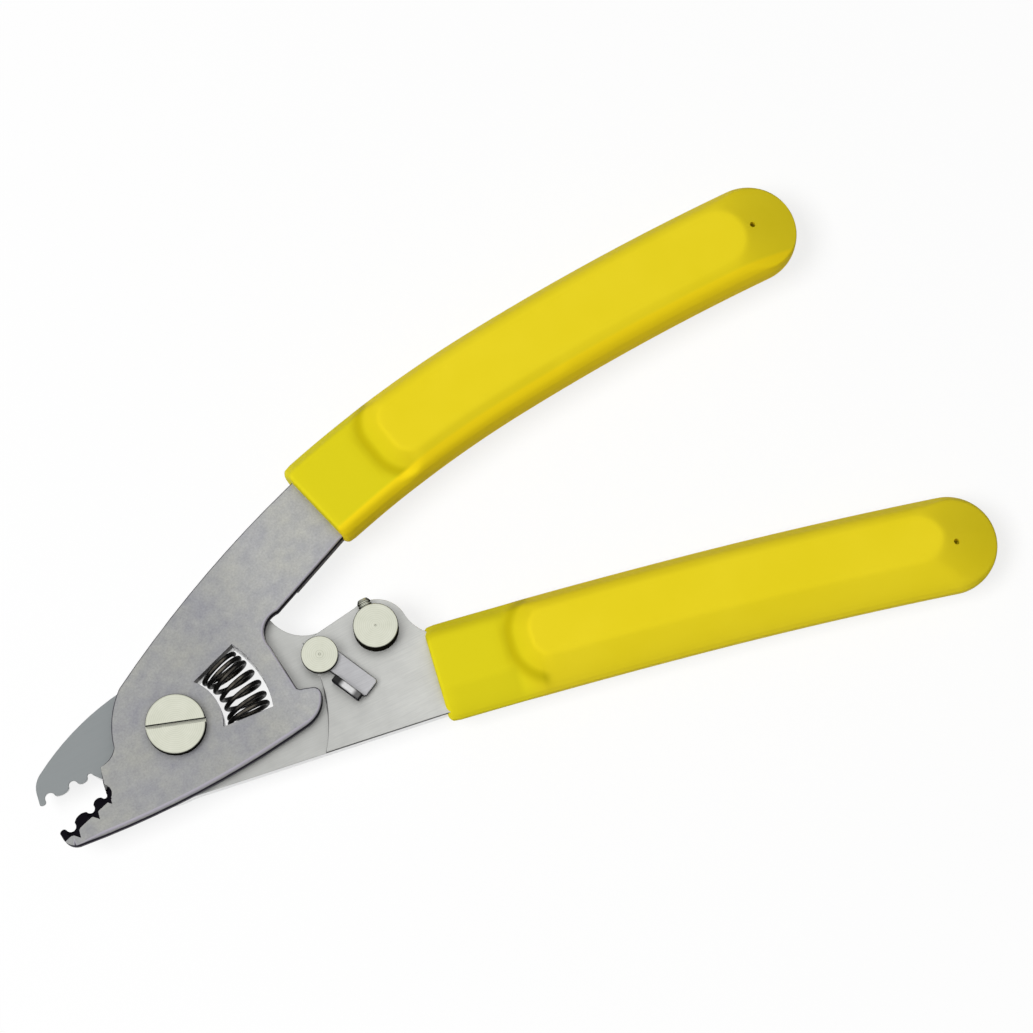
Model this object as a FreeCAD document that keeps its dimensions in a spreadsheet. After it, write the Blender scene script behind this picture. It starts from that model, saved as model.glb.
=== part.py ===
"""Three-hole cable stripper: two lapped levers, bypass jaws, return spring, lock latch and grips.

The frame: origin on the pivot axis in the plane that the tool lies on, +Z up towards the screw head,
+X along the bisector of the open handles. The jaws point to -X, the front lever's handle to +Y.
The tool is drawn open, as the spring holds it. Closing turns the front lever clockwise about +Z.
"""
import FreeCAD, Part
import math
import os
import re
import Sketcher

# Driving sizes in millimetres and degrees, by sub-part. Along is X and across is Y.
# A rise is the height of an arc over the chord between its ends, so that the arc follows them.
SIZES = {
    # Plates and their half-lap
    "plate_thickness": 3.2,
    "lap_depth": 0.8,
    "lap_clearance": 0.05,
    "lap_reach": 21.2,
    "corner_lap_reach": 25.6,
    "close_angle": 14.5,
    # Pivot screw and nut
    "nut_height": 4.0,
    "nut_flats": 8.0,
    "nut_chamfer": 0.5,
    "thread_bore": 5.0,
    "shoulder_bore": 6.0,
    "running_clearance": 0.05,
    "screw_head_width": 8.5,
    "screw_head_height": 1.6,
    "screw_head_chamfer": 0.3,
    "screw_slot_width": 0.6,
    "screw_slot_depth": 0.9,
    "screw_slot_lean": -18.0,
    # Front lever outline
    "tang_edge_angle": 23.5,
    "tang_edge_start": 21.5,
    "tang_edge_mouth": 33.0,
    "tang_edge_end": 36.0,
    "front_tang_end_along": 96.0,
    "front_tang_end_inner": 25.0,
    "front_tang_end_outer": 33.0,
    "front_tang_inner_rise": 2.86,
    "front_tang_outer_rise": 3.82,
    "front_shoulder_along": 28.2,
    "front_shoulder_across": 23.95,
    "front_back_rise": 0.96,
    "jaw_root_along": -5.0,
    "jaw_root_across": 8.3,
    "front_hub_low_along": -9.15,
    "front_hub_low_across": 1.0,
    "front_hub_rise": 0.7,
    "throat_setback": 1.9,
    "throat_lift": 2.97,
    "throat_rise": 0.39,
    "front_belly_setback": 1.19,
    "front_belly_drop": 3.15,
    "front_belly_rise": 1.155,
    "hook_heel_along": 16.5,
    "hook_heel_across": -7.95,
    "hook_heel_rise": 0.64,
    "hook_tip_along": 20.15,
    "hook_tip_across": -5.0,
    "hook_nose_along": 19.2,
    "hook_nose_across": -3.4,
    "hook_nose_rise": 0.44,
    "hook_seat_along": 18.1,
    "hook_seat_across": -3.05,
    "hook_corner_along": 17.35,
    "hook_corner_across": -2.35,
    "hook_corner_rise": 0.2,
    "crotch_along": 16.6,
    "crotch_across": 4.4,
    "crotch_rise": 1.34,
    # Jaws and their three wire holes, from the beak inwards along the line on which they meet
    "jaw_line_angle": 183.0,
    "beak_reach": 21.95,
    "beak_width": 1.0,
    "beak_overlap": 0.2,
    "beak_rise": 0.385,
    "large_hole_width": 1.5,
    "outer_tooth_width": 2.25,
    "middle_hole_width": 1.3,
    "inner_tooth_width": 1.6,
    "small_hole_width": 0.8,
    "tooth_rise": 0.42,
    "front_beak_lead": 0.2,
    "front_beak_drop": 1.0,
    "front_beak_rise": 0.465,
    "rear_beak_setback": 0.35,
    "rear_beak_drop": 1.5,
    "rear_beak_rise": 0.315,
    "bevel_land": 0.4,
    "bevel_width": 1.4,
    "countersink_growth": 0.9,
    # Rear lever outline
    "rear_back_setback": 2.12,
    "rear_back_drop": 3.74,
    "rear_back_rise": 0.85,
    "rear_crown_along": 13.5,
    "rear_crown_across": 11.0,
    "rear_crown_rise": 0.73,
    "rear_corner_along": 18.3,
    "rear_corner_across": 8.1,
    "rear_corner_rise": 0.86,
    "rear_edge_angle": 8.5,
    "rear_edge_start": 24.5,
    "rear_edge_end": 29.9,
    "rear_edge_rise": 1.29,
    "lobe_along": 35.65,
    "lobe_across": 0.2,
    "lobe_rise": 1.87,
    "rear_neck_along": 38.0,
    "rear_neck_across": -3.7,
    "rear_neck_rise": 0.45,
    "rear_tang_end_high_along": 100.5,
    "rear_tang_end_high_across": -18.1,
    "rear_tang_end_low_along": 98.8,
    "rear_tang_end_low_across": -25.9,
    "rear_foot_along": 34.1,
    "rear_foot_across": -14.77,
    "rear_heel_along": -2.0,
    "rear_heel_across": -9.75,
    "rear_heel_rise": 2.47,
    "rear_root_setback": 0.9,
    "rear_root_overlap": 1.2,
    # Spring and its window, on an arc about the pivot
    "spring_width": 6.4,
    "spring_wire": 0.7,
    "spring_wire_sides": 5,
    "spring_turns": 6.5,
    "spring_reach": 10.2,
    "spring_end_play": 0.1,
    "spring_end_gap": 0.07,
    "spring_start_close_turns": 1.0,
    "spring_end_close_turns": 2.0,
    "window_play": 0.4,
    "window_start": -18.9,
    "window_end": 34.7,
    "window_end_lean": 15.3,
    # Latch, its rivet and its washer
    "latch_along": 22.3,
    "latch_across": 0.2,
    "latch_rest_angle": -63.0,
    "latch_length": 8.7,
    "latch_inner_side": 0.9,
    "latch_outer_side": 2.1,
    "latch_thickness": 1.0,
    "latch_eye_wall": 1.1,
    "latch_end_round": 0.5,
    "flange_start": 3.6,
    "flange_height": 1.3,
    "flange_thickness": 1.0,
    "rivet_head_width": 5.25,
    "rivet_head_height": 1.0,
    "rivet_shank": 2.4,
    "rivet_tail_width": 3.8,
    "rivet_tail_height": 0.7,
    "washer_width": 4.4,
    "washer_thickness": 0.2,
    "latch_play": 0.05,
    # Stop post and set screw
    "post_along": 31.1,
    "post_across": 0.3,
    "post_width": 6.4,
    "post_height": 3.0,
    "post_shank": 3.4,
    "post_tail_width": 4.8,
    "post_tail_height": 0.6,
    "post_edge": 0.25,
    "stop_screw_width": 2.0,
    "stop_screw_level": 1.2,
    "stop_screw_length": 7.6,
    "stop_screw_point": 1.4,
    "stop_gap": 0.05,
    "socket_flats": 0.9,
    "socket_depth": 1.2,
    # Grips: section, collar, ramp to the raised panel, sloped tip and curved centre line
    "grip_width": 14.1,
    "grip_panel_width": 8.2,
    "grip_side_height": 4.4,
    "grip_side_rise": 0.75,
    "collar_thickness": 7.6,
    "collar_length": 11.5,
    "ramp_length": 2.8,
    "ramp_spread": 0.5,
    "tip_thickness": 3.8,
    "tip_slope_length": 8.2,
    "front_grip_along": 30.8,
    "front_grip_across": 19.9,
    "front_grip_heading": 17.0,
    "front_grip_near_bend": 175.0,
    "front_grip_near_turn": 10.5,
    "front_grip_far_bend": 380.0,
    "front_grip_far_turn": 6.41,
    "rear_grip_along": 35.9,
    "rear_grip_across": -9.1,
    "rear_grip_heading": -9.6,
    "rear_grip_near_bend": 1120.0,
    "rear_grip_near_turn": 1.9,
    "rear_grip_far_bend": 720.0,
    "rear_grip_far_turn": 3.02,
}

# Levels above the resting plane, as expressions of the sizes.
REAR_BOTTOM = "nut_height"
REAR_TOP = "(nut_height + plate_thickness)"
LAP_PLANE = "(nut_height + plate_thickness - lap_depth)"
FRONT_LAP = "(nut_height + plate_thickness - lap_depth + lap_clearance)"
FRONT_BOTTOM = "(nut_height + plate_thickness - 2 * lap_depth + lap_clearance)"
FRONT_TOP = "(nut_height + 2 * plate_thickness - 2 * lap_depth + lap_clearance)"
LAP_THICKNESS = "(plate_thickness - lap_depth)"
HALF_GRIP = "(nut_height + plate_thickness / 2)"

LEFT, RIGHT = 1, -1
UP = FreeCAD.Vector(0, 0, 1)

doc = FreeCAD.newDocument("cable_stripper")
dims = doc.addObject("Spreadsheet::Sheet", "dims")
for row, (name, size) in enumerate(SIZES.items(), start=1):
    dims.set(f"A{row}", name)
    dims.set(f"B{row}", str(size))
    dims.setAlias(f"B{row}", name)
doc.recompute()


# Expressions of the sizes

def linked(expression):
    """The expression with every size name pointing at its cell of the sheet."""
    return re.sub(r"[a-z]\w*", lambda w: "dims." + w[0] if w[0] in SIZES else w[0], expression)


def number(expression):
    """The value that the expression has now."""
    return float(dims.evalExpression(linked(expression)))


def bind(item, **properties):
    """Tie properties of an object to expressions; double underscores stand for dots."""
    for name, expression in properties.items():
        item.setExpression(name.replace("__", "."), linked(expression))
    return item


def polar(reach, angle):
    return f"({reach}) * cos({angle})", f"({reach}) * sin({angle})"


def slanted(along, across, angle):
    """A point given along and across a line that leaves the origin at the angle."""
    return (f"({along}) * cos({angle}) - ({across}) * sin({angle})",
            f"({along}) * sin({angle}) + ({across}) * cos({angle})")


# Steps of an outline: how it goes on, and to which corner

def line(x, y):
    return "line", x, y, None, None


def arc(x, y, radius, turn):
    return "arc", x, y, radius, turn


def bow(x, y, rise, turn):
    """An arc that follows its two ends, given by its height over the chord."""
    return "bow", x, y, rise, turn


def half_round(first, last):
    """A half circle to the left from one corner to another, as two quarter arcs."""
    (x, y), (u, v) = first, last
    radius = f"sqrt(({u} - ({x})) ^ 2 + ({v} - ({y})) ^ 2) / 2"
    top = f"({x} + {u} + {v} - ({y})) / 2", f"({y} + {v} - ({u}) + {x}) / 2"
    return [arc(*top, radius, LEFT), arc(*last, radius, LEFT)]


def bow_radius(here, there, rise):
    chord_squared = f"(({there[0]} - ({here[0]})) ^ 2 + ({there[1]} - ({here[1]})) ^ 2)"
    return f"({chord_squared} / 4 + ({rise}) ^ 2) / (2 * ({rise}))"


def draw(sketch, start, steps, closed=True):
    """Draw an outline, each corner and radius tied to the sheet.

    The last step of a closed outline comes back to the start.
    """
    corners = [start] + [step[1:3] for step in steps]
    places = [FreeCAD.Vector(number(x), number(y), 0) for x, y in corners]
    ends = []
    for index, (kind, _, _, size, turn) in enumerate(steps):
        here, there = places[index], places[index + 1]
        if kind == "line":
            ends.append((sketch.addGeometry(Part.LineSegment(here, there)), 1, 2))
        else:
            radius = bow_radius(corners[index], corners[index + 1], size) if kind == "bow" else size
            ends.append(draw_arc(sketch, here, there, radius, turn))
    for index, (item, begin, finish) in enumerate(ends):
        pin(sketch, item, begin, places[index], corners[index])
        if closed or index + 1 < len(ends):
            following = ends[(index + 1) % len(ends)]
            sketch.addConstraint(Sketcher.Constraint("Coincident", item, finish, *following[:2]))
        else:
            pin(sketch, item, finish, places[-1], corners[-1])


def draw_arc(sketch, here, there, radius, turn):
    """Draw the shorter arc between two places. Returns it with its points at the first and the last."""
    size, chord = number(radius), there - here
    height = math.sqrt(size ** 2 - (chord.Length / 2) ** 2)
    centre = (here + there) * 0.5 + FreeCAD.Vector(-chord.y, chord.x, 0).normalize() * height * turn
    first, last = (here, there) if turn == LEFT else (there, here)
    angles = [math.atan2(p.y - centre.y, p.x - centre.x) for p in (first, last)]
    item = sketch.addGeometry(Part.ArcOfCircle(Part.Circle(centre, UP, size), *angles))
    tie(sketch, Sketcher.Constraint("Radius", item, size), radius)
    return (item, 1, 2) if turn == LEFT else (item, 2, 1)


def tie(sketch, constraint, expression):
    sketch.setExpression(f"Constraints[{sketch.addConstraint(constraint)}]", linked(expression))


def pin(sketch, item, point, place, corner):
    """Tie a point of a drawn item to the sheet by its two coordinates."""
    tie(sketch, Sketcher.Constraint("DistanceX", -1, 1, item, point, place.x), corner[0])
    tie(sketch, Sketcher.Constraint("DistanceY", -1, 1, item, point, place.y), corner[1])


def ring(sketch, x, y, radius):
    """Draw a circle whose centre and radius are tied to the sheet."""
    centre = FreeCAD.Vector(number(x), number(y), 0)
    circle = sketch.addGeometry(Part.Circle(centre, UP, number(radius)))
    tie(sketch, Sketcher.Constraint("Radius", circle, number(radius)), radius)
    pin(sketch, circle, 3, centre, (x, y))


# Bodies, features and booleans

def new_body(label):
    body = doc.addObject("PartDesign::Body", label)
    body.Label = label
    return body


def attached_sketch(body, name, role):
    sketch = body.newObject("Sketcher::SketchObject", name)
    plane = next(f for f in body.Origin.OriginFeatures if f.Role == role)
    sketch.AttachmentSupport = (plane, [""])
    sketch.MapMode = "FlatFace"
    return sketch


def plan_sketch(body, name, level):
    """A sketch of the body in the plan view, at a level above the resting plane."""
    return bind(attached_sketch(body, name, "XY_Plane"), AttachmentOffset__Base__z=level)


def free_sketch(label, x, y, z, yaw, roll):
    """A sketch on its own, in a plane turned by yaw about +Z and tipped up by roll."""
    sketch = doc.addObject("Sketcher::SketchObject", label)
    place = f"create(<<vector>>; {x}; {y}; {z})"
    turn = f"create(<<rotation>>; {yaw}; 0; {roll})"
    return bind(sketch, Placement=f"create(<<placement>>; {place}; {turn})")


def pad(body, sketch, length):
    feature = body.newObject("PartDesign::Pad", sketch.Name + "_pad")
    feature.Profile = sketch
    bind(feature, Length=length)


def pocket(body, sketch, depth, upward=False):
    """Cut the sketch into the body; the body has to lose volume by it."""
    before = solid_volume(body)
    feature = body.newObject("PartDesign::Pocket", sketch.Name + "_pocket")
    feature.Profile = sketch
    feature.Reversed = upward
    bind(feature, Length=depth)
    if solid_volume(body) >= before:
        raise ValueError(f"{feature.Name} cuts nothing")


def solid_volume(item):
    doc.recompute()
    return item.Shape.Volume


def turned(label, x, y, start, steps):
    """A turned piece: its half profile of radius and level, about a vertical axis at x, y."""
    body = new_body(label)
    sketch = attached_sketch(body, label + "_profile", "XZ_Plane")
    draw(sketch, start, [*steps, line(*start)])
    feature = body.newObject("PartDesign::Revolution", label + "_turn")
    feature.Profile = sketch
    feature.ReferenceAxis = (sketch, ["V_Axis"])
    feature.Angle = 360
    return bind(body, Placement__Base__x=x, Placement__Base__y=y)


def extruded(sketch, length, both_ways=False):
    feature = doc.addObject("Part::Extrusion", sketch.Name + "_solid")
    feature.Base = sketch
    feature.DirMode = "Normal"
    feature.Solid = True
    feature.Symmetric = both_ways
    return bind(feature, LengthFwd=length)


def cut(base, tools, label):
    """The base less the tools; it has to lose volume by them."""
    feature = doc.addObject("Part::Cut", label)
    feature.Label = label
    feature.Base = base
    feature.Tool = tools[0] if len(tools) == 1 else joined(tools, label + "_tools")
    if solid_volume(feature) >= base.Shape.Volume:
        raise ValueError(f"{label} cuts nothing")
    return feature


def joined(items, label):
    feature = doc.addObject("Part::MultiFuse", label)
    feature.Shapes = items
    return feature


def shared(one, other, label):
    feature = doc.addObject("Part::Common", label)
    feature.Base = one
    feature.Tool = other
    return feature


# The jaws' edges, from the hole next to the pivot out to the beak

LARGE_HOLE = "(beak_reach - beak_width - large_hole_width / 2)"
MIDDLE_HOLE = f"({LARGE_HOLE} - large_hole_width / 2 - outer_tooth_width - middle_hole_width / 2)"
SMALL_HOLE = f"({MIDDLE_HOLE} - middle_hole_width / 2 - inner_tooth_width - small_hole_width / 2)"
JAW_START = f"({SMALL_HOLE} - small_hole_width / 2)"
HOLES = [(SMALL_HOLE, "small_hole_width"),
         (MIDDLE_HOLE, "middle_hole_width"),
         (LARGE_HOLE, "large_hole_width")]


def rear_jaw(reach, overlap):
    """A point of the rear jaw: distance out along the meeting line, and overlap past it."""
    return slanted(reach, overlap, "jaw_line_angle")


def front_jaw(reach, overlap):
    """The same for the front jaw, which stands open by the closing angle and faces the other way."""
    return slanted(reach, f"-({overlap})", "(jaw_line_angle + close_angle)")


def jaw_edge(place, turn):
    """Notches and rounded teeth from the innermost notch to the beak. place maps jaw positions."""
    steps = []
    for index, (reach, width) in enumerate(HOLES):
        steps.append(arc(*place(reach, f"-{width} / 2"), f"{width} / 2", -turn))
        steps.append(arc(*place(f"{reach} + {width} / 2", "0"), f"{width} / 2", -turn))
        if index + 1 < len(HOLES):
            following, its_width = HOLES[index + 1]
            steps.append(bow(*place(f"{following} - {its_width} / 2", "0"), "tooth_rise", turn))
    steps.append(bow(*place("beak_reach", "beak_overlap"), "beak_rise", turn))
    return steps


def back_along(start, arcs):
    """The same arcs from their end back to their start."""
    corners = [start] + [step[1:3] for step in arcs]
    return [(kind, *corners[index], size, -turn)
            for index, (kind, _, _, size, turn) in reversed(list(enumerate(arcs)))]


# The tangs, drawn the same in the levers and in the grips that enclose them

def front_tang():
    inner = ("front_tang_end_along", "front_tang_end_inner")
    outer = ("front_tang_end_along", "front_tang_end_outer")
    return [line(*polar("tang_edge_end", "tang_edge_angle")),
            bow(*inner, "front_tang_inner_rise", RIGHT),
            *half_round(inner, outer),
            bow("front_shoulder_along", "front_shoulder_across", "front_tang_outer_rise", LEFT)]


def rear_tang():
    low = ("rear_tang_end_low_along", "rear_tang_end_low_across")
    high = ("rear_tang_end_high_along", "rear_tang_end_high_across")
    return [line("rear_foot_along", "rear_foot_across"),
            line(*low),
            *half_round(low, high),
            line("rear_neck_along", "rear_neck_across"),
            bow("lobe_along", "lobe_across", "rear_neck_rise", RIGHT)]


# What both levers are cut with

def window(body, name):
    """The spring window: two arcs about the pivot and two end walls that lean in towards each other."""
    sketch = plan_sketch(body, name, "0")
    inner = "(spring_reach - spring_width / 2 - window_play)"
    outer = "(spring_reach + spring_width / 2 + window_play)"

    def wall(reach, angle, lean):
        shift = f"asin(spring_reach * sin({lean}) / {reach})"
        return polar(reach, f"({angle} + ({lean})) * 1 deg - {shift}")

    low, high = ("window_start", "window_end_lean"), ("window_end", "-window_end_lean")
    start = wall(inner, *low)
    draw(sketch, start, [line(*wall(outer, *low)),
                         arc(*wall(outer, *high), outer, LEFT),
                         line(*wall(inner, *high)),
                         arc(*start, inner, RIGHT)])
    pocket(body, sketch, FRONT_TOP, upward=True)


def through_holes(body, name, holes):
    sketch = plan_sketch(body, name, "0")
    for x, y, radius in holes:
        ring(sketch, x, y, radius)
    pocket(body, sketch, FRONT_TOP, upward=True)


# How far a jaw's bevel reaches past the teeth and behind them, and its depth at its outer side.
PAST = "(tooth_rise + beak_overlap + beak_rise)"
BEHIND = "(bevel_width - tooth_rise)"
BEVEL_DEPTH = f"(({LAP_THICKNESS} - bevel_land) * ({PAST} + {BEHIND}) / bevel_width)"


def bevel_tools(label, turn, level, wedge_sizes, low_growth, high_growth, cone_level):
    """The cutters of a jaw's bevel: a wedge along the teeth and a countersink at each hole."""
    wedge = doc.addObject("Part::Wedge", label + "_wedge")
    wedge.Placement.Rotation = FreeCAD.Rotation(UP, number(turn))
    end = "beak_reach + bevel_width"
    bind(wedge, Placement__Rotation__Angle=turn, Placement__Base__z=level,
         Xmin=JAW_START, X2min=JAW_START, Xmax=end, X2max=end, **wedge_sizes)
    tools = [wedge]
    for reach, width in HOLES:
        cone = doc.addObject("Part::Cone", f"{label}_{width}")
        x, y = polar(reach, turn)
        bind(cone, Radius1=f"{width} / 2 + {low_growth}", Radius2=f"{width} / 2 + {high_growth}",
             Height=f"{LAP_THICKNESS} - bevel_land",
             Placement__Base__x=x, Placement__Base__y=y, Placement__Base__z=cone_level)
        tools.append(cone)
    return tools


# The sub-parts

def front_lever():
    body = new_body("front_lever_plate")
    outline = plan_sketch(body, "front_outline", FRONT_BOTTOM)
    start = polar("tang_edge_start", "tang_edge_angle")
    draw(outline, start, [
        *front_tang(),
        bow("jaw_root_along", "jaw_root_across", "front_back_rise", LEFT),
        bow("front_hub_low_along", "front_hub_low_across", "front_hub_rise", LEFT),
        bow(*front_jaw(f"{JAW_START} - throat_setback", "throat_lift"), "throat_rise", RIGHT),
        line(*front_jaw(JAW_START, "0")),
        *jaw_edge(front_jaw, LEFT),
        line(*front_jaw("beak_reach + front_beak_lead", "-front_beak_drop")),
        bow(*front_jaw("beak_reach - front_belly_setback", "-front_belly_drop"), "front_beak_rise", LEFT),
        bow("hook_heel_along", "hook_heel_across", "front_belly_rise", LEFT),
        bow("hook_tip_along", "hook_tip_across", "hook_heel_rise", LEFT),
        bow("hook_nose_along", "hook_nose_across", "hook_nose_rise", LEFT),
        line("hook_seat_along", "hook_seat_across"),
        bow("hook_corner_along", "hook_corner_across", "hook_corner_rise", RIGHT),
        line("crotch_along", "crotch_across"),
        bow(*start, "crotch_rise", RIGHT)])
    pad(body, outline, "plate_thickness")
    lap = plan_sketch(body, "front_lap", FRONT_BOTTOM)
    low, high = ("0", "-corner_lap_reach"), ("0", "corner_lap_reach")
    draw(lap, low, [*half_round(low, high),
                    line("-corner_lap_reach", "corner_lap_reach"),
                    line("-corner_lap_reach", "-corner_lap_reach"),
                    line(*low)])
    pocket(body, lap, "lap_depth", upward=True)
    through_holes(body, "front_pivot_hole", [("0", "0", "shoulder_bore / 2 + running_clearance")])
    window(body, "front_window")
    above = f"2 * {LAP_THICKNESS}"
    wedge_sizes = {"Ymin": f"-{PAST}", "Zmin": f"{LAP_THICKNESS} - {BEVEL_DEPTH}", "Zmax": above,
                   "Ymax": BEHIND, "Z2min": LAP_THICKNESS, "Z2max": above}
    tools = bevel_tools("front_bevel", "jaw_line_angle + close_angle", FRONT_LAP, wedge_sizes,
                        "0", "countersink_growth", f"{FRONT_LAP} + bevel_land")
    return cut(body, tools, "front_lever")


def rear_lever():
    body = new_body("rear_lever_plate")
    outline = plan_sketch(body, "rear_outline", REAR_BOTTOM)
    start = ("rear_heel_along", "rear_heel_across")
    draw(outline, start, [
        *rear_tang(),
        bow(*polar("rear_edge_end", "rear_edge_angle"), "lobe_rise", LEFT),
        line(*polar("rear_edge_start", "rear_edge_angle")),
        bow("rear_corner_along", "rear_corner_across", "rear_edge_rise", RIGHT),
        bow("rear_crown_along", "rear_crown_across", "rear_corner_rise", LEFT),
        bow("jaw_root_along", "jaw_root_across", "rear_crown_rise", LEFT),
        bow(*rear_jaw("beak_reach - rear_back_setback", "-rear_back_drop"), "rear_back_rise", LEFT),
        bow(*rear_jaw("beak_reach - rear_beak_setback", "-rear_beak_drop"), "rear_beak_rise", LEFT),
        line(*rear_jaw("beak_reach", "beak_overlap")),
        *back_along(rear_jaw(JAW_START, "0"), jaw_edge(rear_jaw, RIGHT)),
        line(*rear_jaw(f"{JAW_START} - rear_root_setback", "rear_root_overlap")),
        bow(*start, "rear_heel_rise", LEFT)])
    pad(body, outline, "plate_thickness")
    lap = plan_sketch(body, "rear_lap", REAR_TOP)
    low = ("0", "-lap_reach")
    draw(lap, low, [arc(*polar("lap_reach", "rear_edge_angle"), "lap_reach", LEFT),
                    line(*polar("corner_lap_reach", "rear_edge_angle")),
                    line("corner_lap_reach", "corner_lap_reach"),
                    line("-corner_lap_reach", "corner_lap_reach"),
                    line("-corner_lap_reach", "-lap_reach"),
                    line(*low)])
    pocket(body, lap, "lap_depth")
    through_holes(body, "rear_holes", [("0", "0", "thread_bore / 2"),
                                       ("latch_along", "latch_across", "rivet_shank / 2"),
                                       ("post_along", "post_across", "post_shank / 2")])
    window(body, "rear_window")
    below = f"-{LAP_THICKNESS}"
    wedge_sizes = {"Ymin": f"-{BEHIND}", "Zmin": below, "Zmax": "0",
                   "Ymax": PAST, "Z2min": below, "Z2max": BEVEL_DEPTH}
    tools = bevel_tools("rear_bevel", "jaw_line_angle", REAR_BOTTOM, wedge_sizes,
                        "countersink_growth", "0", REAR_BOTTOM)
    return cut(body, tools, "rear_lever")


def pivot_screw():
    under_head = f"({FRONT_TOP} + running_clearance)"
    head_top = f"({under_head} + screw_head_height)"
    thread, shoulder, head = "thread_bore / 2", "shoulder_bore / 2", "screw_head_width / 2"
    body = turned("pivot_screw", "0", "0", ("0", "0"), [
        line(thread, "0"), line(thread, LAP_PLANE),
        line(shoulder, LAP_PLANE), line(shoulder, under_head),
        line(head, under_head), line(head, f"{head_top} - screw_head_chamfer"),
        line(f"{head} - screw_head_chamfer", head_top), line("0", head_top)])
    slot = plan_sketch(body, "screw_slot", head_top)
    corners = [slanted(f"{side} * screw_head_width", f"{edge} * screw_slot_width / 2", "screw_slot_lean")
               for side, edge in ((1, 1), (-1, 1), (-1, -1), (1, -1))]
    draw(slot, corners[0], [line(*corner) for corner in corners[1:] + corners[:1]])
    pocket(body, slot, "screw_slot_depth")
    return body


def pivot_nut():
    corner = "(nut_flats / 2 / cos(30))"
    prism = doc.addObject("Part::Prism", "nut_prism")
    prism.Polygon = 6
    bind(prism, Circumradius=corner, Height="nut_height")
    chamfered = turned("nut_chamfered", "0", "0", ("0", "0"), [
        line("nut_flats / 2", "0"), line(corner, "nut_chamfer"), line(corner, "nut_height"),
        line("0", "nut_height")])
    bore = doc.addObject("Part::Cylinder", "nut_bore")
    bind(bore, Radius="thread_bore / 2", Height="nut_height")
    return cut(shared(prism, chamfered, "nut_blank"), [bore], "pivot_nut")


def spring_corners():
    """The coil's points on its inner and outer side in turn, along an arc about the pivot."""
    wire, reach = number("spring_wire"), number("spring_reach")
    half = (number("spring_width") - wire) / 2
    inset = math.degrees((wire / 2 + number("spring_end_play")) / (reach - half))
    low, high = number("window_start") + inset, number("window_end") - inset
    full_lean = math.radians(number("window_end_lean"))
    half_turns = int(2 * number("spring_turns"))
    level = (number(REAR_BOTTOM) + number(FRONT_TOP)) / 2

    def corner(index, angle):
        lean = full_lean * (low + high - 2 * angle) / (high - low)
        away = reach + (half if index % 2 else -half)
        turn = math.radians(angle) + lean - math.asin(reach * math.sin(lean) / away)
        return FreeCAD.Vector(away * math.cos(turn), away * math.sin(turn), level)

    # The turns at both ends lie close to their neighbours, by a gap on the inner side.
    first_open = int(2 * number("spring_start_close_turns"))
    last_open = half_turns - int(2 * number("spring_end_close_turns"))
    open_count = last_open - first_open
    inner_spread = (corner(0, high) - corner(0, low)).Length / (high - low)
    close_step = (wire + number("spring_end_gap")) / inner_spread / 2
    open_step = (high - low - (half_turns - open_count) * close_step) / open_count
    angle, corners = low, []
    for index in range(half_turns + 1):
        corners.append(corner(index, angle))
        angle += open_step if first_open <= index < last_open else close_step
    return corners


def return_spring():
    """The coil as half rings of many-sided wire, over the top and under the bottom in turn."""
    corners = spring_corners()
    sides, radius = int(number("spring_wire_sides")), number("spring_wire") / 2
    facing, half_rings = 0.0, []
    for index, (here, there) in enumerate(zip(corners, corners[1:])):
        angles = [facing + 2 * math.pi * side / sides for side in range(sides)]
        points = [here + FreeCAD.Vector(math.cos(a), math.sin(a), 0) * radius for a in angles]
        section = Part.Face(Part.makePolygon(points + points[:1]))
        axis = UP.cross(there - here)
        half_rings.append(section.revolve((here + there) * 0.5, axis, 180 if index % 2 == 0 else -180))
        # The section comes out of the half ring mirrored in its axis.
        facing = 2 * math.atan2(axis.y, axis.x) - facing
    feature = doc.addObject("Part::Feature", "return_spring")
    feature.Shape = half_rings[0].multiFuse(half_rings[1:]).Solids[0]
    return feature


def lock_latch():
    """The latch in its own frame: X out along the arm from the rivet, Y to its outer side."""
    level = f"({REAR_TOP} + washer_thickness + latch_play)"
    body = new_body("lock_latch")
    arm = plan_sketch(body, "latch_arm", level)
    eye, corner = "(rivet_shank / 2 + latch_eye_wall)", "latch_end_round"
    start = (f"sqrt({eye} ^ 2 - latch_outer_side ^ 2)", "latch_outer_side")
    draw(arm, start, [
        arc(f"-{eye}", "0", eye, LEFT),
        arc(f"sqrt({eye} ^ 2 - latch_inner_side ^ 2)", "-latch_inner_side", eye, LEFT),
        line(f"latch_length - {corner}", "-latch_inner_side"),
        arc("latch_length", f"{corner} - latch_inner_side", corner, LEFT),
        line("latch_length", f"latch_outer_side - {corner}"),
        arc(f"latch_length - {corner}", "latch_outer_side", corner, LEFT),
        line(*start)])
    pad(body, arm, "latch_thickness")
    flange = plan_sketch(body, "latch_flange", level)
    near, far = "-latch_inner_side", "-(latch_inner_side + flange_thickness)"
    end = f"latch_length - {corner}"
    start = ("flange_start", far)
    draw(flange, start, [line(end, far), line(end, near), line("flange_start", near), line(*start)])
    pad(body, flange, "latch_thickness + flange_height")
    eye_hole = plan_sketch(body, "latch_eye", level)
    ring(eye_hole, "0", "0", "rivet_shank / 2 + running_clearance")
    pocket(body, eye_hole, "latch_thickness", upward=True)
    body.Placement.Rotation = FreeCAD.Rotation(UP, number("latch_rest_angle"))
    return bind(body, Placement__Rotation__Angle="latch_rest_angle",
                Placement__Base__x="latch_along", Placement__Base__y="latch_across")


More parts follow.
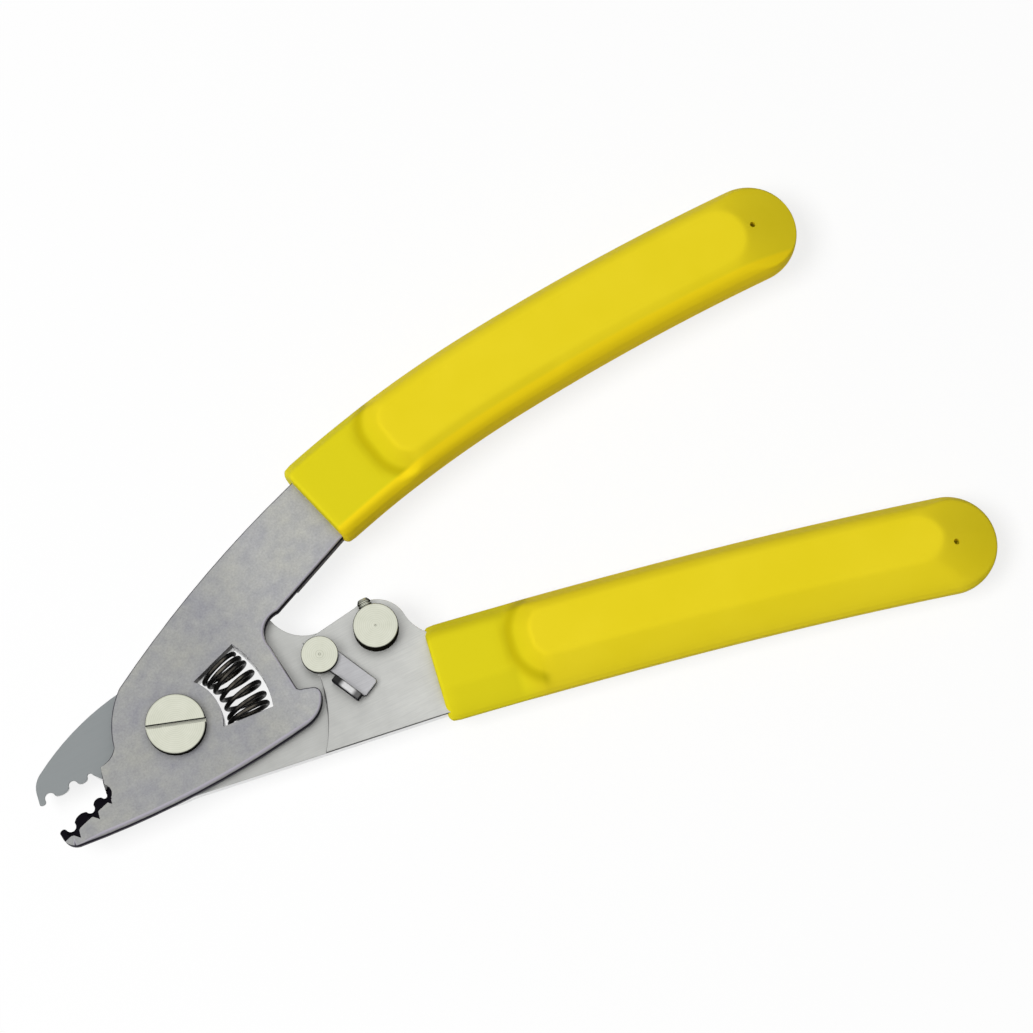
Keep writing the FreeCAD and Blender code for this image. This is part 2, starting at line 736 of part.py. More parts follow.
def riveted_pin(label, name, place, head_width, under_head, head_height):
    """A headed pin through the rear plate, its tail spread under the plate."""
    tail, shank, head = f"{name}_tail_width / 2", f"{name}_shank / 2", f"{head_width} / 2"
    tail_end, head_top = f"({REAR_BOTTOM} - {name}_tail_height)", f"({under_head} + {head_height})"
    return turned(label, *place, ("0", tail_end), [
        line(shank, tail_end), line(tail, REAR_BOTTOM),
        line(shank, REAR_BOTTOM), line(shank, under_head),
        line(head, under_head), line(head, f"{head_top} - post_edge"),
        line(f"{head} - post_edge", head_top), line("0", head_top)])


def latch_rivet():
    under_head = f"({REAR_TOP} + washer_thickness + latch_thickness + 2 * latch_play)"
    return riveted_pin("latch_rivet", "rivet", ("latch_along", "latch_across"),
                       "rivet_head_width", under_head, "rivet_head_height")


def latch_washer():
    bore, rim, top = "rivet_shank / 2", "washer_width / 2", f"{REAR_TOP} + washer_thickness"
    return turned("latch_washer", "latch_along", "latch_across", (bore, REAR_TOP),
                  [line(rim, REAR_TOP), line(rim, top), line(bore, top)])


def stop_post():
    body = riveted_pin("stop_post_blank", "post", ("post_along", "post_across"),
                       "post_width", REAR_TOP, "post_height")
    hole = doc.addObject("Part::Cylinder", "stop_screw_hole")
    hole.Placement.Rotation = FreeCAD.Rotation(FreeCAD.Vector(1, 0, 0), -90)
    bind(hole, Radius="stop_screw_width / 2", Height="2 * post_width", Placement__Base__x="post_along",
         Placement__Base__y="post_across - post_width", Placement__Base__z=f"{REAR_TOP} + stop_screw_level")
    return cut(body, [hole], "stop_post")


def stop_screw():
    """The set screw along Y, its point just short of the front tang's edge when the tool is closed."""
    side, point = "stop_screw_width / 2", "stop_screw_point / 2"
    tip = f"(post_along - {point}) * tan(tang_edge_angle - close_angle) - stop_gap"
    body = turned("stop_screw", "post_along", tip, ("0", "-stop_screw_length"), [
        line(side, "-stop_screw_length"), line(side, f"{point} - {side}"), line(point, "0"), line("0", "0")])
    socket = plan_sketch(body, "stop_screw_socket", "-stop_screw_length")
    corners = [polar("socket_flats / 2 / cos(30)", str(60 * corner)) for corner in range(6)]
    draw(socket, corners[0], [line(*corner) for corner in corners[1:] + corners[:1]])
    pocket(body, socket, "socket_depth", upward=True)
    body.Placement.Rotation = FreeCAD.Rotation(FreeCAD.Vector(1, 0, 0), -90)
    return bind(body, Placement__Base__z=f"{REAR_TOP} + stop_screw_level")


def arc_end(x, y, heading, radius, angle):
    """Where an arc ends that leaves (x, y) at a heading and turns to the right."""
    chord, way = f"2 * {radius} * sin({angle} / 2)", f"({heading} - {angle} / 2)"
    return f"({x} + {chord} * cos{way})", f"({y} + {chord} * sin{way})"


def grip_side(level):
    """A grip's section from the upper panel's edge, down its bevels and rounded side, to the lower's."""
    wide, flank = "grip_width / 2 - grip_side_rise", "grip_side_height / 2"
    return [line(wide, f"{level} + {flank}"),
            bow(wide, f"{level} - {flank}", "grip_side_rise", RIGHT),
            line("grip_panel_width / 2", f"{level} - {HALF_GRIP}")]


def grip_hull(side, level, start, middle, end):
    """The grip's section along its curved line, with a round end."""
    name, heading = f"{side}_grip", f"{side}_grip_heading"
    spine = free_sketch(f"{name}_line", "0", "0", level, "0", "0")
    draw(spine, start, [arc(*middle, f"{name}_near_bend", RIGHT), arc(*end, f"{name}_far_bend", RIGHT)],
         closed=False)
    section = free_sketch(f"{name}_section", *start, level, f"{heading} + 90", "90")
    panel = "grip_panel_width / 2"
    corner = (panel, HALF_GRIP)
    down = grip_side("0")
    up = [(kind, f"-({x})", f"-({y})", *rest) for kind, x, y, *rest in down]
    draw(section, corner, [*down, line(f"-{panel}", f"-{HALF_GRIP}"), *up, line(*corner)])
    sleeve = doc.addObject("Part::Sweep", f"{name}_sleeve")
    sleeve.Sections = [section]
    sleeve.Spine = (spine, ["Edge1", "Edge2"])
    sleeve.Solid = True
    top, bottom = f"{level} + {HALF_GRIP}", f"{level} - {HALF_GRIP}"
    tip = turned(f"{name}_tip", *end, ("0", top), [line(panel, top), *grip_side(level), line("0", bottom)])
    return joined([sleeve, tip], f"{name}_hull")


def grip(side, level, tang_sketch):
    """A dipped grip: thin collar at its mouth, panel that starts in a round ramp, sloped round tip."""
    name, heading = f"{side}_grip", f"{side}_grip_heading"
    near_bend, near_turn = f"{name}_near_bend", f"{name}_near_turn"
    start = (f"{name}_along", f"{name}_across")
    middle = arc_end(*start, heading, near_bend, near_turn)
    end = arc_end(*middle, f"({heading} - {near_turn})", f"{name}_far_bend", f"{name}_far_turn")
    panel, collar, thin = "grip_panel_width / 2", "collar_thickness / 2", "tip_thickness / 2"
    round_start = f"({panel} + ramp_spread)"
    panel_turn = f"((collar_length + ramp_length + {round_start}) / {near_bend} * 180 / pi)"
    panel_start = arc_end(*start, heading, near_bend, panel_turn)
    way = f"({heading} - {near_turn} / 2 - {name}_far_turn / 2)"

    def along(point):
        return f"(({point[0]} - {start[0]}) * cos{way} + ({point[1]} - {start[1]}) * sin{way})"

    step, reach = along(panel_start), f"({along(end)} + grip_width / 2)"
    profile = free_sketch(f"{name}_profile", *start, level, way, "90")
    upper = [("-grip_width", collar), (step, collar), (step, HALF_GRIP),
             (f"{reach} - tip_slope_length", HALF_GRIP), (reach, thin)]
    around = [(x, f"-({y})") for x, y in upper] + upper[::-1]
    draw(profile, around[0], [line(*corner) for corner in around[1:] + around[:1]])
    foot = f"{round_start} + ramp_length"
    ramp = turned(f"{name}_ramp", *panel_start, ("0", f"{level} + {HALF_GRIP}"), [
        line(round_start, f"{level} + {HALF_GRIP}"), line(foot, f"{level} + {collar}"),
        line(foot, f"{level} - {collar}"), line(round_start, f"{level} - {HALF_GRIP}"),
        line("0", f"{level} - {HALF_GRIP}")])
    limits = joined([extruded(profile, "4 * grip_width", both_ways=True), ramp], f"{name}_limits")
    form = shared(grip_hull(side, level, start, middle, end), limits, f"{name}_form")
    return cut(form, [extruded(tang_sketch, "plate_thickness")], name)


def front_grip():
    tang = free_sketch("front_grip_hollow", "0", "0", FRONT_BOTTOM, "0", "0")
    start = polar("tang_edge_mouth", "tang_edge_angle")
    draw(tang, start, [*front_tang(), line(*start)])
    return grip("front", f"({FRONT_BOTTOM} + plate_thickness / 2)", tang)


def rear_grip():
    tang = free_sketch("rear_grip_hollow", "0", "0", REAR_BOTTOM, "0", "0")
    draw(tang, ("lobe_along", "lobe_across"), rear_tang())
    return grip("rear", f"({REAR_BOTTOM} + plate_thickness / 2)", tang)


subparts = [front_lever(), rear_lever(), pivot_screw(), pivot_nut(), return_spring(), lock_latch(),
            latch_rivet(), latch_washer(), stop_post(), stop_screw(), front_grip(), rear_grip()]
doc.recompute()

for item in doc.Objects:
    if "Invalid" in item.State or "Error" in item.State:
        raise ValueError(f"{item.Name} failed: {item.State}")
for item in subparts:
    if item.Shape.isNull() or not item.Shape.isValid() or len(item.Shape.Solids) != 1:
        raise ValueError(f"{item.Label} is not one valid solid")

os.makedirs("parts", exist_ok=True)
for item in subparts:
    item.Shape.exportStep(f"parts/{item.Label}.step")
    print(item.Label, round(item.Shape.Volume, 3))
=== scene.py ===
"""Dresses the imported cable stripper: bevelled steel, round fasteners, a wire spring and dipped grips."""
import math

import bmesh
import bpy
from mathutils import Matrix, Vector


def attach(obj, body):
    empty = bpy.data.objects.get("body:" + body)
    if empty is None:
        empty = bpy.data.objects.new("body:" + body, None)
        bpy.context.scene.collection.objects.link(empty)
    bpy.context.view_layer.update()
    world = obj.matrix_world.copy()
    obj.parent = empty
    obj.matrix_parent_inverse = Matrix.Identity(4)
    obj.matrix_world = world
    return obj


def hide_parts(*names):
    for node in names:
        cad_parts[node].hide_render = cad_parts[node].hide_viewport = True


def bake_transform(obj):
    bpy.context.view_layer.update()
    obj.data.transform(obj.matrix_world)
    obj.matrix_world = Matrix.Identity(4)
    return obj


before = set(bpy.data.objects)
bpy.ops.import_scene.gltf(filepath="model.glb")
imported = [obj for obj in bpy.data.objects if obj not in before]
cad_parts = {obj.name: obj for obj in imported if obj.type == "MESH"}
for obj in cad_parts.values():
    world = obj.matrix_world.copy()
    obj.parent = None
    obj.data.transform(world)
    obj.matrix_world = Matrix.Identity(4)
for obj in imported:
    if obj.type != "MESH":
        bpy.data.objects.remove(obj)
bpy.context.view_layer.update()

MM = 0.001

# Camera of the photograph
VIEW_AZIMUTH = -26.24
VIEW_ELEVATION = 77.0
VIEW_DISTANCE = 500.0
VIEW_AIM = (55.9, 5.86, 8.85)
SENSOR_WIDTH = 36.0
LENS = 123.0

# Levels of the CAD solids above the resting plane
FRONT_TOP = 8.85
FRONT_MIDDLE = 7.25
REAR_MIDDLE = 5.6

# Where the jaws begin along X, and the way in which the front jaw's teeth face
JAW_ROOT = -9.0
TEETH_START = -12.3
TEETH_FACE = (-0.301, 0.954)

# The front jaw along its own line: its land's level, the bevel's run and width, how far the cutter passes
# the bevel, and the gashes as (middle, half width, depth)
FRONT_JAW_ANGLE = 197.5
JAW_LAND = 6.85
JAW_START = 13.4
JAW_END = 23.0
JAW_BEVEL = 1.4
TOOTH_RISE = 0.42
JAW_CREASE = 25.0
CUT_INSIDE = 0.05
CUT_OUTSIDE = 3.0
GASH_FLARE = 0.8
GASH_START = -0.3
JAW_GASHES = ((13.9, 0.45, 2.0), (16.55, 0.65, 2.4), (20.2, 0.75, 2.5))

# Places of the latch's rivet and the stop post, and the way in which the latch's arm points at rest
LATCH_PLACE = (22.3, 0.2)
POST_PLACE = (31.1, 0.3)
LATCH_ANGLE = -63.0

# Rounding of the front plate's rim, widest along the side that faces as the belly does, and how it tapers
WIDEST_RIM = 0.75
COMMON_RIM = 0.3
WINDOW_RIM = 0.08
TEETH_TAPER = 4.0
BEAK_START = -19.5
BEAK_TAPER = 3.0
HOOK_START = 14.5
HOOK_TAPER = 4.0
HOOK_LOSS = 0.7
BELLY_FACE = (0.42, -0.9)
BELLY_WIDENS = (-0.35, 0.75)
BELLY_CLEARS = (0.2, 0.5)

# The spring's window: its reach from the pivot and where it begins along X and Y
WINDOW_REACH = 14.8
WINDOW_NEAR = 3.0
WINDOW_LOW = -6.5

# Meshes: least upward normal of a flat face and greatest of a wall, the angle and distances at which facets
# are joined, the play of a level, and the angle from which an edge is sharp
FLAT_NORMAL = 0.95
WALL_NORMAL = 0.3
FLAT_ANGLE = 0.6
CAD_JOIN = 1e-6
FINE_JOIN = 1e-7
SLIVER = 2e-7
LEVEL_PLAY = 0.1
SHARP = 35.0


def deg(value):
    """An angle in radians."""
    return math.radians(value)


def ramped(value, low, high):
    """0 up to low, 1 from high on and straight between them."""
    return min(max((value - low) / (high - low), 0.0), 1.0)


def smooth_min(a, b, spread):
    """The lower of two heights, with the crease between them rounded."""
    near = max(spread - abs(a - b), 0.0) / spread
    return min(a, b) - near * near * spread / 4


def smooth_max(a, b, spread):
    """The higher of two heights, with the valley between them rounded."""
    return -smooth_min(-a, -b, spread)


# Meshes

def piece(bm, name, body, slot, *replaced, sharp=SHARP, origin=(0.0, 0.0, 0.0)):
    """An object of a mesh, on its body, with the CAD nodes that it stands for; its slot is not used."""
    bmesh.ops.recalc_face_normals(bm, faces=bm.faces)
    for face in bm.faces:
        face.smooth = True
    mesh = bpy.data.meshes.new(name)
    bm.to_mesh(mesh)
    bm.free()
    mesh.set_sharp_from_angle(angle=deg(sharp))
    obj = bpy.data.objects.new(name, mesh)
    bpy.context.scene.collection.objects.link(obj)
    obj.location = [value * MM for value in origin]
    if body:
        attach(obj, body)
    if replaced:
        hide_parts(*replaced)
    return obj


def weighted(obj):
    """Shade large faces flat up to their rounded edges."""
    modifier = obj.modifiers.new("weighted normals", "WEIGHTED_NORMAL")
    modifier.keep_sharp = True
    return obj


def settle(obj, modifier):
    """Replace an object's mesh by what one modifier makes of it."""
    bpy.context.view_layer.update()
    graph = bpy.context.evaluated_depsgraph_get()
    result = bpy.data.meshes.new_from_object(obj.evaluated_get(graph))
    obj.modifiers.remove(modifier)
    obj.data = result


def joined(node):
    """A copy of a CAD node's mesh with the facets of its flat faces joined."""
    bm = bmesh.new()
    bm.from_mesh(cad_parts[node].data)
    bmesh.ops.remove_doubles(bm, verts=bm.verts, dist=CAD_JOIN)
    bmesh.ops.dissolve_limit(bm, angle_limit=deg(FLAT_ANGLE), verts=bm.verts, edges=bm.edges)
    bm.normal_update()
    return bm


def dressed(node, name, body, slot, width):
    """A copy of a CAD node with the rims of its flat faces rounded by one width in mm."""
    bm = joined(node)
    share = bm.edges.layers.float.new("bevel_weight_edge")
    for item in bm.edges:
        if len(item.link_faces) == 2:
            wall, flat = sorted(item.link_faces, key=lambda face: abs(face.normal.z))
            if abs(wall.normal.z) < WALL_NORMAL and abs(flat.normal.z) > FLAT_NORMAL:
                item[share] = 1.0
    obj = piece(bm, name, body, slot, node)
    modifier = obj.modifiers.new("rims", "BEVEL")
    modifier.limit_method = "WEIGHT"
    modifier.width = width * MM
    modifier.segments = 3
    modifier.use_clamp_overlap = False
    settle(obj, modifier)
    obj.data.set_sharp_from_angle(angle=deg(SHARP))
    return obj


def in_fixed_order(bm):
    """List corners, edges and faces by their places, since an extrusion may list them otherwise each run."""
    for sequence in (bm.verts, bm.edges, bm.faces):
        places = {}
        for item in sequence:
            corners = [item] if isinstance(item, bmesh.types.BMVert) else item.verts
            middle = sum((corner.co for corner in corners), Vector()) / len(corners)
            places[item] = middle.to_tuple(8)
        for index, item in enumerate(sorted(places, key=places.get)):
            item.index = index
        sequence.sort()
    return bm


def round_top(bm, level, rounding, steps=5):
    """Round the rim of a plate's upper face; rounding gives the width in mm for a corner and its facing."""
    lowest = (level - LEVEL_PLAY) * MM
    top = [face for face in bm.faces
           if face.normal.z > FLAT_NORMAL and face.calc_center_median().z > lowest]
    facings = {}
    for face in top:
        for item in face.edges:
            for other in item.link_faces:
                if abs(other.normal.z) < WALL_NORMAL:
                    for corner in item.verts:
                        facings.setdefault(corner, []).append(other.normal.copy())
    rim = {}
    for corner, walls in facings.items():
        first, last = walls[0], walls[-1]
        outward = (first + last) / (1.0 + max(first.dot(last), 0.0))
        rim[corner] = (corner.co.copy(), outward, rounding(corner.co / MM, (first + last).normalized()) * MM)
    for corner, (place, outward, width) in rim.items():
        corner.co.z = place.z - width
    for step in range(1, steps + 1):
        angle = math.pi / 2 * step / steps
        held = {corner.co.to_tuple(9): entry for corner, entry in rim.items()}
        made = bmesh.ops.extrude_face_region(bm, geom=top)["geom"]
        bmesh.ops.delete(bm, geom=[face for face in top if face.is_valid], context="FACES")
        top = [item for item in made if isinstance(item, bmesh.types.BMFace)]
        rim = {}
        for corner in (item for item in made if isinstance(item, bmesh.types.BMVert)):
            entry = held.get(corner.co.to_tuple(9))
            if entry:
                place, outward, width = entry
                corner.co = place - outward * width * (1.0 - math.cos(angle))
                corner.co.z = place.z - width * (1.0 - math.sin(angle))
                rim[corner] = entry
    bmesh.ops.remove_doubles(bm, verts=bm.verts, dist=FINE_JOIN)
    bmesh.ops.dissolve_degenerate(bm, edges=bm.edges, dist=FINE_JOIN)
    return in_fixed_order(bm)


def lathe(profile, sides=96):
    """A turned solid from (radius, height) points, closed where the radius is 0."""
    bm = bmesh.new()
    rings = []
    for radius, height in profile:
        if radius == 0.0:
            rings.append([bm.verts.new((0.0, 0.0, height * MM))])
            continue
        ring = []
        for side in range(sides):
            angle = 2 * math.pi * side / sides
            ring.append(bm.verts.new((radius * math.cos(angle) * MM, radius * math.sin(angle) * MM,
                                      height * MM)))
        rings.append(ring)
    for low, high in zip(rings, rings[1:]):
        for side in range(sides):
            after = (side + 1) % sides
            corners = [low[side % len(low)], low[after % len(low)],
                       high[after % len(high)], high[side % len(high)]]
            unique = list(dict.fromkeys(corners))
            if len(unique) > 2:
                bm.faces.new(unique)
    return bm


def round_edge(radius, height, size, steps=5):
    """Profile points of a rounded rim, from the wall up to the flat top."""
    points = []
    for step in range(steps + 1):
        angle = math.pi / 2 * step / steps
        points.append((radius - size + size * math.cos(angle), height - (size - size * math.sin(angle))))
    return points


def tube(path, radius, sides):
    """A round wire along points, closed at both ends."""
    bm = bmesh.new()
    points = [Vector(point) for point in path]
    across = None
    rings = []
    for index, point in enumerate(points):
        before = points[max(index - 1, 0)]
        after = points[min(index + 1, len(points) - 1)]
        along = (after - before).normalized()
        if across is None:
            across = along.orthogonal()
        across = (across - along * across.dot(along)).normalized()
        other = along.cross(across)
        ring = []
        for side in range(sides):
            angle = 2 * math.pi * side / sides
            offset = across * math.cos(angle) + other * math.sin(angle)
            ring.append(bm.verts.new((point + offset * radius) * MM))
        rings.append(ring)
    for low, high in zip(rings, rings[1:]):
        for side in range(sides):
            after = (side + 1) % sides
            bm.faces.new((low[side], low[after], high[after], high[side]))
    bm.faces.new(rings[0])
    bm.faces.new(rings[-1])
    return bm


def carve(obj, cutter_bm, sharp=SHARP):
    """Cut a mesh out of a piece at rest, clear the slivers that the cut leaves and mark sharp edges."""
    mesh = bpy.data.meshes.new("cutter")
    bmesh.ops.recalc_face_normals(cutter_bm, faces=cutter_bm.faces)
    cutter_bm.to_mesh(mesh)
    cutter_bm.free()
    cutter = bpy.data.objects.new("cutter", mesh)
    bpy.context.scene.collection.objects.link(cutter)
    cutter.location = obj.location
    modifier = obj.modifiers.new("cut", "BOOLEAN")
    modifier.operation = "DIFFERENCE"
    modifier.solver = "EXACT"
    modifier.object = cutter
    settle(obj, modifier)
    bpy.data.objects.remove(cutter)
    bm = bmesh.new()
    bm.from_mesh(obj.data)
    bmesh.ops.remove_doubles(bm, verts=bm.verts, dist=FINE_JOIN)
    bmesh.ops.triangulate(bm, faces=[face for face in bm.faces if len(face.verts) > 4])
    bmesh.ops.dissolve_degenerate(bm, edges=bm.edges, dist=SLIVER)
    for face in bm.faces:
        face.smooth = True
    for item in bm.edges:
        item.smooth = len(item.link_faces) == 2 and item.calc_face_angle(0.0) < deg(sharp)
    bm.to_mesh(obj.data)
    bm.free()


def box(low, high, turn=0.0):
    """A block between two corners, turned about the vertical."""
    bm = bmesh.new()
    bmesh.ops.create_cube(bm, size=1.0)
    middle = [(a + b) / 2 * MM for a, b in zip(low, high)]
    size = [(b - a) * MM for a, b in zip(low, high)]
    place = Matrix.Rotation(deg(turn), 4, "Z") @ Matrix.Translation(middle) @ Matrix.Diagonal((*size, 1.0))
    bmesh.ops.transform(bm, matrix=place, verts=bm.verts)
    return bm


# Materials

class Nodes:
    """Short names for building a node material."""

    def __init__(self, name):
        """A new material with its shader and its texture coordinates."""
        self.material = bpy.data.materials.new(name)
        self.material.use_nodes = True
        self.tree = self.material.node_tree
        self.shader = self.tree.nodes["Principled BSDF"]
        self.place = self.add("ShaderNodeTexCoord")

    def add(self, kind, **inputs):
        """A node with its inputs set or linked."""
        node = self.tree.nodes.new(kind)
        for key, value in inputs.items():
            self.feed(node.inputs[key.replace("_", " ")], value)
        return node

    def feed(self, socket, value):
        """Link a socket into an input, or set the input to a constant."""
        if isinstance(value, bpy.types.NodeSocket):
            self.tree.links.new(value, socket)
        else:
            socket.default_value = value

    def set(self, **inputs):
        """Set or link the shader's own inputs."""
        for key, value in inputs.items():
            self.feed(self.shader.inputs[key.replace("_", " ")], value)

    def spot(self, scale=(1.0, 1.0, 1.0), turn=0.0, shift=(0.0, 0.0, 0.0)):
        """Object coordinates in millimetres, turned and stretched."""
        node = self.add("ShaderNodeMapping", Vector=self.place.outputs["Object"])
        node.inputs["Location"].default_value = shift
        node.inputs["Rotation"].default_value = (0.0, 0.0, deg(turn))
        node.inputs["Scale"].default_value = [value / MM for value in scale]
        return node.outputs[0]

    def noise(self, spot, scale, detail=3.0, rough=0.55):
        """Cloudy noise between 0 and 1."""
        node = self.add("ShaderNodeTexNoise", Vector=spot, Scale=scale, Detail=detail, Roughness=rough)
        return node.outputs["Fac"]

    def ramp(self, value, *stops):
        """A colour or grey ramp through (place, colour) stops."""
        node = self.add("ShaderNodeValToRGB", Fac=value)
        ramp = node.color_ramp
        while len(ramp.elements) < len(stops):
            ramp.elements.new(1.0)
        for element, (place, colour) in zip(ramp.elements, stops):
            element.position = place
            element.color = (*colour, 1.0) if isinstance(colour, tuple) else (colour, colour, colour, 1.0)
        return node.outputs["Color"]

    def span(self, value, low, high, to_low=0.0, to_high=1.0):
        """A smooth step from one value to another."""
        node = self.add("ShaderNodeMapRange", Value=value)
        node.interpolation_type = "SMOOTHSTEP"
        for key, number in zip(("From Min", "From Max", "To Min", "To Max"), (low, high, to_low, to_high)):
            node.inputs[key].default_value = number
        return node.outputs[0]

    def math(self, operation, a, b=0.0):
        """One operation on one or two values."""
        node = self.add("ShaderNodeMath")
        node.operation = operation
        self.feed(node.inputs[0], a)
        self.feed(node.inputs[1], b)
        return node.outputs[0]

    def mix(self, share, first, second, kind="MIX"):
        """The first colour with a share of the second."""
        node = self.add("ShaderNodeMix")
        node.data_type = "RGBA"
        node.blend_type = kind
        self.feed(node.inputs[0], share)
        for socket, colour in ((node.inputs[6], first), (node.inputs[7], second)):
            self.feed(socket, (*colour, 1.0) if isinstance(colour, tuple) else colour)
        return node.outputs[2]

    def split(self, vector):
        """The three parts of a vector."""
        return self.add("ShaderNodeSeparateXYZ", Vector=vector).outputs

    def bump(self, height, strength, distance):
        """A normal that follows fine relief, with its depth in mm."""
        node = self.add("ShaderNodeBump", Height=height, Strength=strength, Distance=distance * MM)
        return node.outputs[0]

    def spots(self):
        """Object coordinates in millimetres, one by one."""
        return [self.math("MULTIPLY", value, 1.0 / MM) for value in self.split(self.place.outputs["Object"])]

    def wall(self, low=0.35, high=0.8):
        """1 on upright faces, 0 on flat ones, for the edges of a plate."""
        upright = self.math("ABSOLUTE", self.split(self.place.outputs["Normal"])[2])
        return self.span(upright, low, high, 1.0, 0.0)


def tumbled_steel():
    """Grey tumbled plate: cloudy, finely pitted, with painted light and shade on its rims and walls, and
    tooth bevels painted black as shade.
    """
    m = Nodes("tumbled_steel_skin")
    spot = m.spot()
    clouds = m.noise(spot, 0.14, 3.0, 0.55)
    patches = m.noise(spot, 0.55, 5.0, 0.65)
    pits = m.noise(spot, 3.4, 3.0, 0.7)
    x, y, z = m.spots()
    nx, ny, nz = m.split(m.place.outputs["Normal"])
    colour = m.ramp(clouds, (0.3, (0.365, 0.367, 0.39)), (0.5, (0.395, 0.397, 0.395)),
                    (0.7, (0.42, 0.42, 0.395)))
    colour = m.mix(1.0, colour, m.ramp(patches, (0.3, (0.87, 0.87, 0.89)), (0.7, (1.12, 1.12, 1.09))),
                   "MULTIPLY")
    colour = m.mix(1.0, colour, m.ramp(pits, (0.3, 0.86), (0.65, 1.06)), "MULTIPLY")
    colour = m.mix(1.0, colour, m.ramp(m.span(x, 8.0, 22.0), (0.0, 1.0), (1.0, 1.2)), "MULTIPLY")
    # Painted highlight: a pale lavender band on the rounded rims that face as the belly does
    upright = m.math("ABSOLUTE", nz)
    belly = m.math("ADD", m.math("MULTIPLY", nx, BELLY_FACE[0]), m.math("MULTIPLY", ny, BELLY_FACE[1]))
    belly = m.span(belly, -0.05, 0.05)
    painted_rim_highlight = m.math("MULTIPLY", m.span(upright, 0.995, 0.95), m.span(upright, 0.6, 0.75))
    painted_rim_highlight = m.math("MULTIPLY", painted_rim_highlight, belly)
    colour = m.mix(painted_rim_highlight, colour, (0.47, 0.45, 0.51))

    # Walls: painted shade darkens them at the top of the outline and on rims that face away from the belly, a
    # painted reflection makes them pale along the window's arcs, and painted shade makes them black at its
    # ends
    reach = m.math("SQRT", m.math("ADD", m.math("MULTIPLY", x, x), m.math("MULTIPLY", y, y)))
    window = m.math("MULTIPLY", m.span(reach, WINDOW_REACH - 0.2, WINDOW_REACH - 0.6),
                    m.span(y, WINDOW_LOW, WINDOW_LOW + 1.0))
    window = m.math("MULTIPLY", window, m.span(x, WINDOW_NEAR - 1.0, WINDOW_NEAR + 1.0))
    radial = m.math("ADD", m.math("MULTIPLY", nx, x), m.math("MULTIPLY", ny, y))
    radial = m.math("DIVIDE", m.math("ABSOLUTE", radial), reach)
    inside = m.mix(m.span(radial, 0.5, 0.7), (0.03, 0.028, 0.026), (0.8, 0.8, 0.8))
    away = m.math("MULTIPLY", m.wall(0.65, 0.97), m.math("SUBTRACT", 1.0, belly))
    edge = m.math("MAXIMUM", m.wall(0.2, 0.6), away)
    wall = m.mix(m.span(z, 6.6, 7.8), (0.24, 0.235, 0.25), (0.03, 0.026, 0.04))
    colour = m.mix(edge, colour, m.mix(window, wall, inside))

    # Painted shade: tooth bevels that face as the teeth do turn near black, and they and the walls painted
    # dark are made non-metallic
    toothed = m.math("ADD", m.math("MULTIPLY", nx, TEETH_FACE[0]), m.math("MULTIPLY", ny, TEETH_FACE[1]))
    shaded_tooth_bevel = m.math("MULTIPLY", m.span(x, JAW_ROOT, JAW_ROOT - 1.0), m.wall(0.9, 0.985))
    shaded_tooth_bevel = m.math("MULTIPLY", shaded_tooth_bevel, m.span(toothed, -0.15, 0.0))
    colour = m.mix(shaded_tooth_bevel, colour, (0.008, 0.007, 0.01))
    painted_shade_mask = m.math("MAXIMUM", m.math("MULTIPLY", edge, m.math("SUBTRACT", 1.0, window)), shaded_tooth_bevel)
    m.set(Base_Color=colour, Metallic=m.span(painted_shade_mask, 0.0, 1.0, 0.75, 0.0), Specular_IOR_Level=0.0,
          Roughness=m.span(patches, 0.3, 0.7, 0.4, 0.52), Normal=m.bump(pits, 0.3, 0.03))
    return m.material


def flange_light_and_shade(m, x, y, colour):
    """Paint the latch's thumb flange pale as a highlight, with painted shade that blackens its ends."""
    cosine = math.cos(deg(LATCH_ANGLE))
    sine = math.sin(deg(LATCH_ANGLE))
    x = m.math("SUBTRACT", x, LATCH_PLACE[0])
    y = m.math("SUBTRACT", y, LATCH_PLACE[1])
    along = m.math("ADD", m.math("MULTIPLY", x, cosine), m.math("MULTIPLY", y, sine))
    across = m.math("SUBTRACT", m.math("MULTIPLY", y, cosine), m.math("MULTIPLY", x, sine))
    lip = m.span(across, -0.7, -0.9)
    ends = m.math("MAXIMUM", m.span(along, 5.5, 4.6), m.span(along, 6.8, 7.6, 0.0, 0.85))
    colour = m.mix(lip, colour, (0.72, 0.72, 0.72))
    return m.mix(m.math("MULTIPLY", lip, ends), colour, (0.03, 0.03, 0.03))


def ground_steel(name, bright, dim, edge_top, edge_low, flanged=False):
    """Plate with a fine straight grain, a greyer jaw and edges with painted light and shade that are darkest
    at their top.
    """
    m = Nodes(name)
    lines = m.noise(m.spot((0.12, 2.6, 1.0), 12.0), 2.4, 4.0, 0.6)
    patches = m.noise(m.spot(), 0.3, 3.0)
    colour = m.ramp(lines, (0.3, dim), (0.7, bright))
    colour = m.mix(1.0, colour, m.ramp(patches, (0.3, 0.94), (0.7, 1.04)), "MULTIPLY")
    x, y, z = m.spots()
    colour = m.mix(1.0, colour, m.ramp(m.span(x, 14.0, 40.0), (0.0, 0.88), (1.0, 1.06)), "MULTIPLY")
    colour = m.mix(m.span(x, 2.0, -3.0), colour, (0.3, 0.32, 0.325))
    # Painted highlight and shade on the latch's thumb flange
    if flanged:
        colour = flange_light_and_shade(m, x, y, colour)
    # Painted light and shade on the edges: edge_low colours the walls and edge_top paints their top dark as
    # shade
    edge = m.wall(0.2, 0.6)
    top = m.math("MULTIPLY", edge, m.span(z, 6.0, 6.7))
    colour = m.mix(edge, colour, edge_low)
    colour = m.mix(top, colour, edge_top)
    m.set(Base_Color=colour, Metallic=m.span(top, 0.0, 1.0, 0.75, 0.0), Specular_IOR_Level=0.0,
          Roughness=m.span(lines, 0.3, 0.7, 0.36, 0.46), Normal=m.bump(lines, 0.1, 0.02))
    return m.material


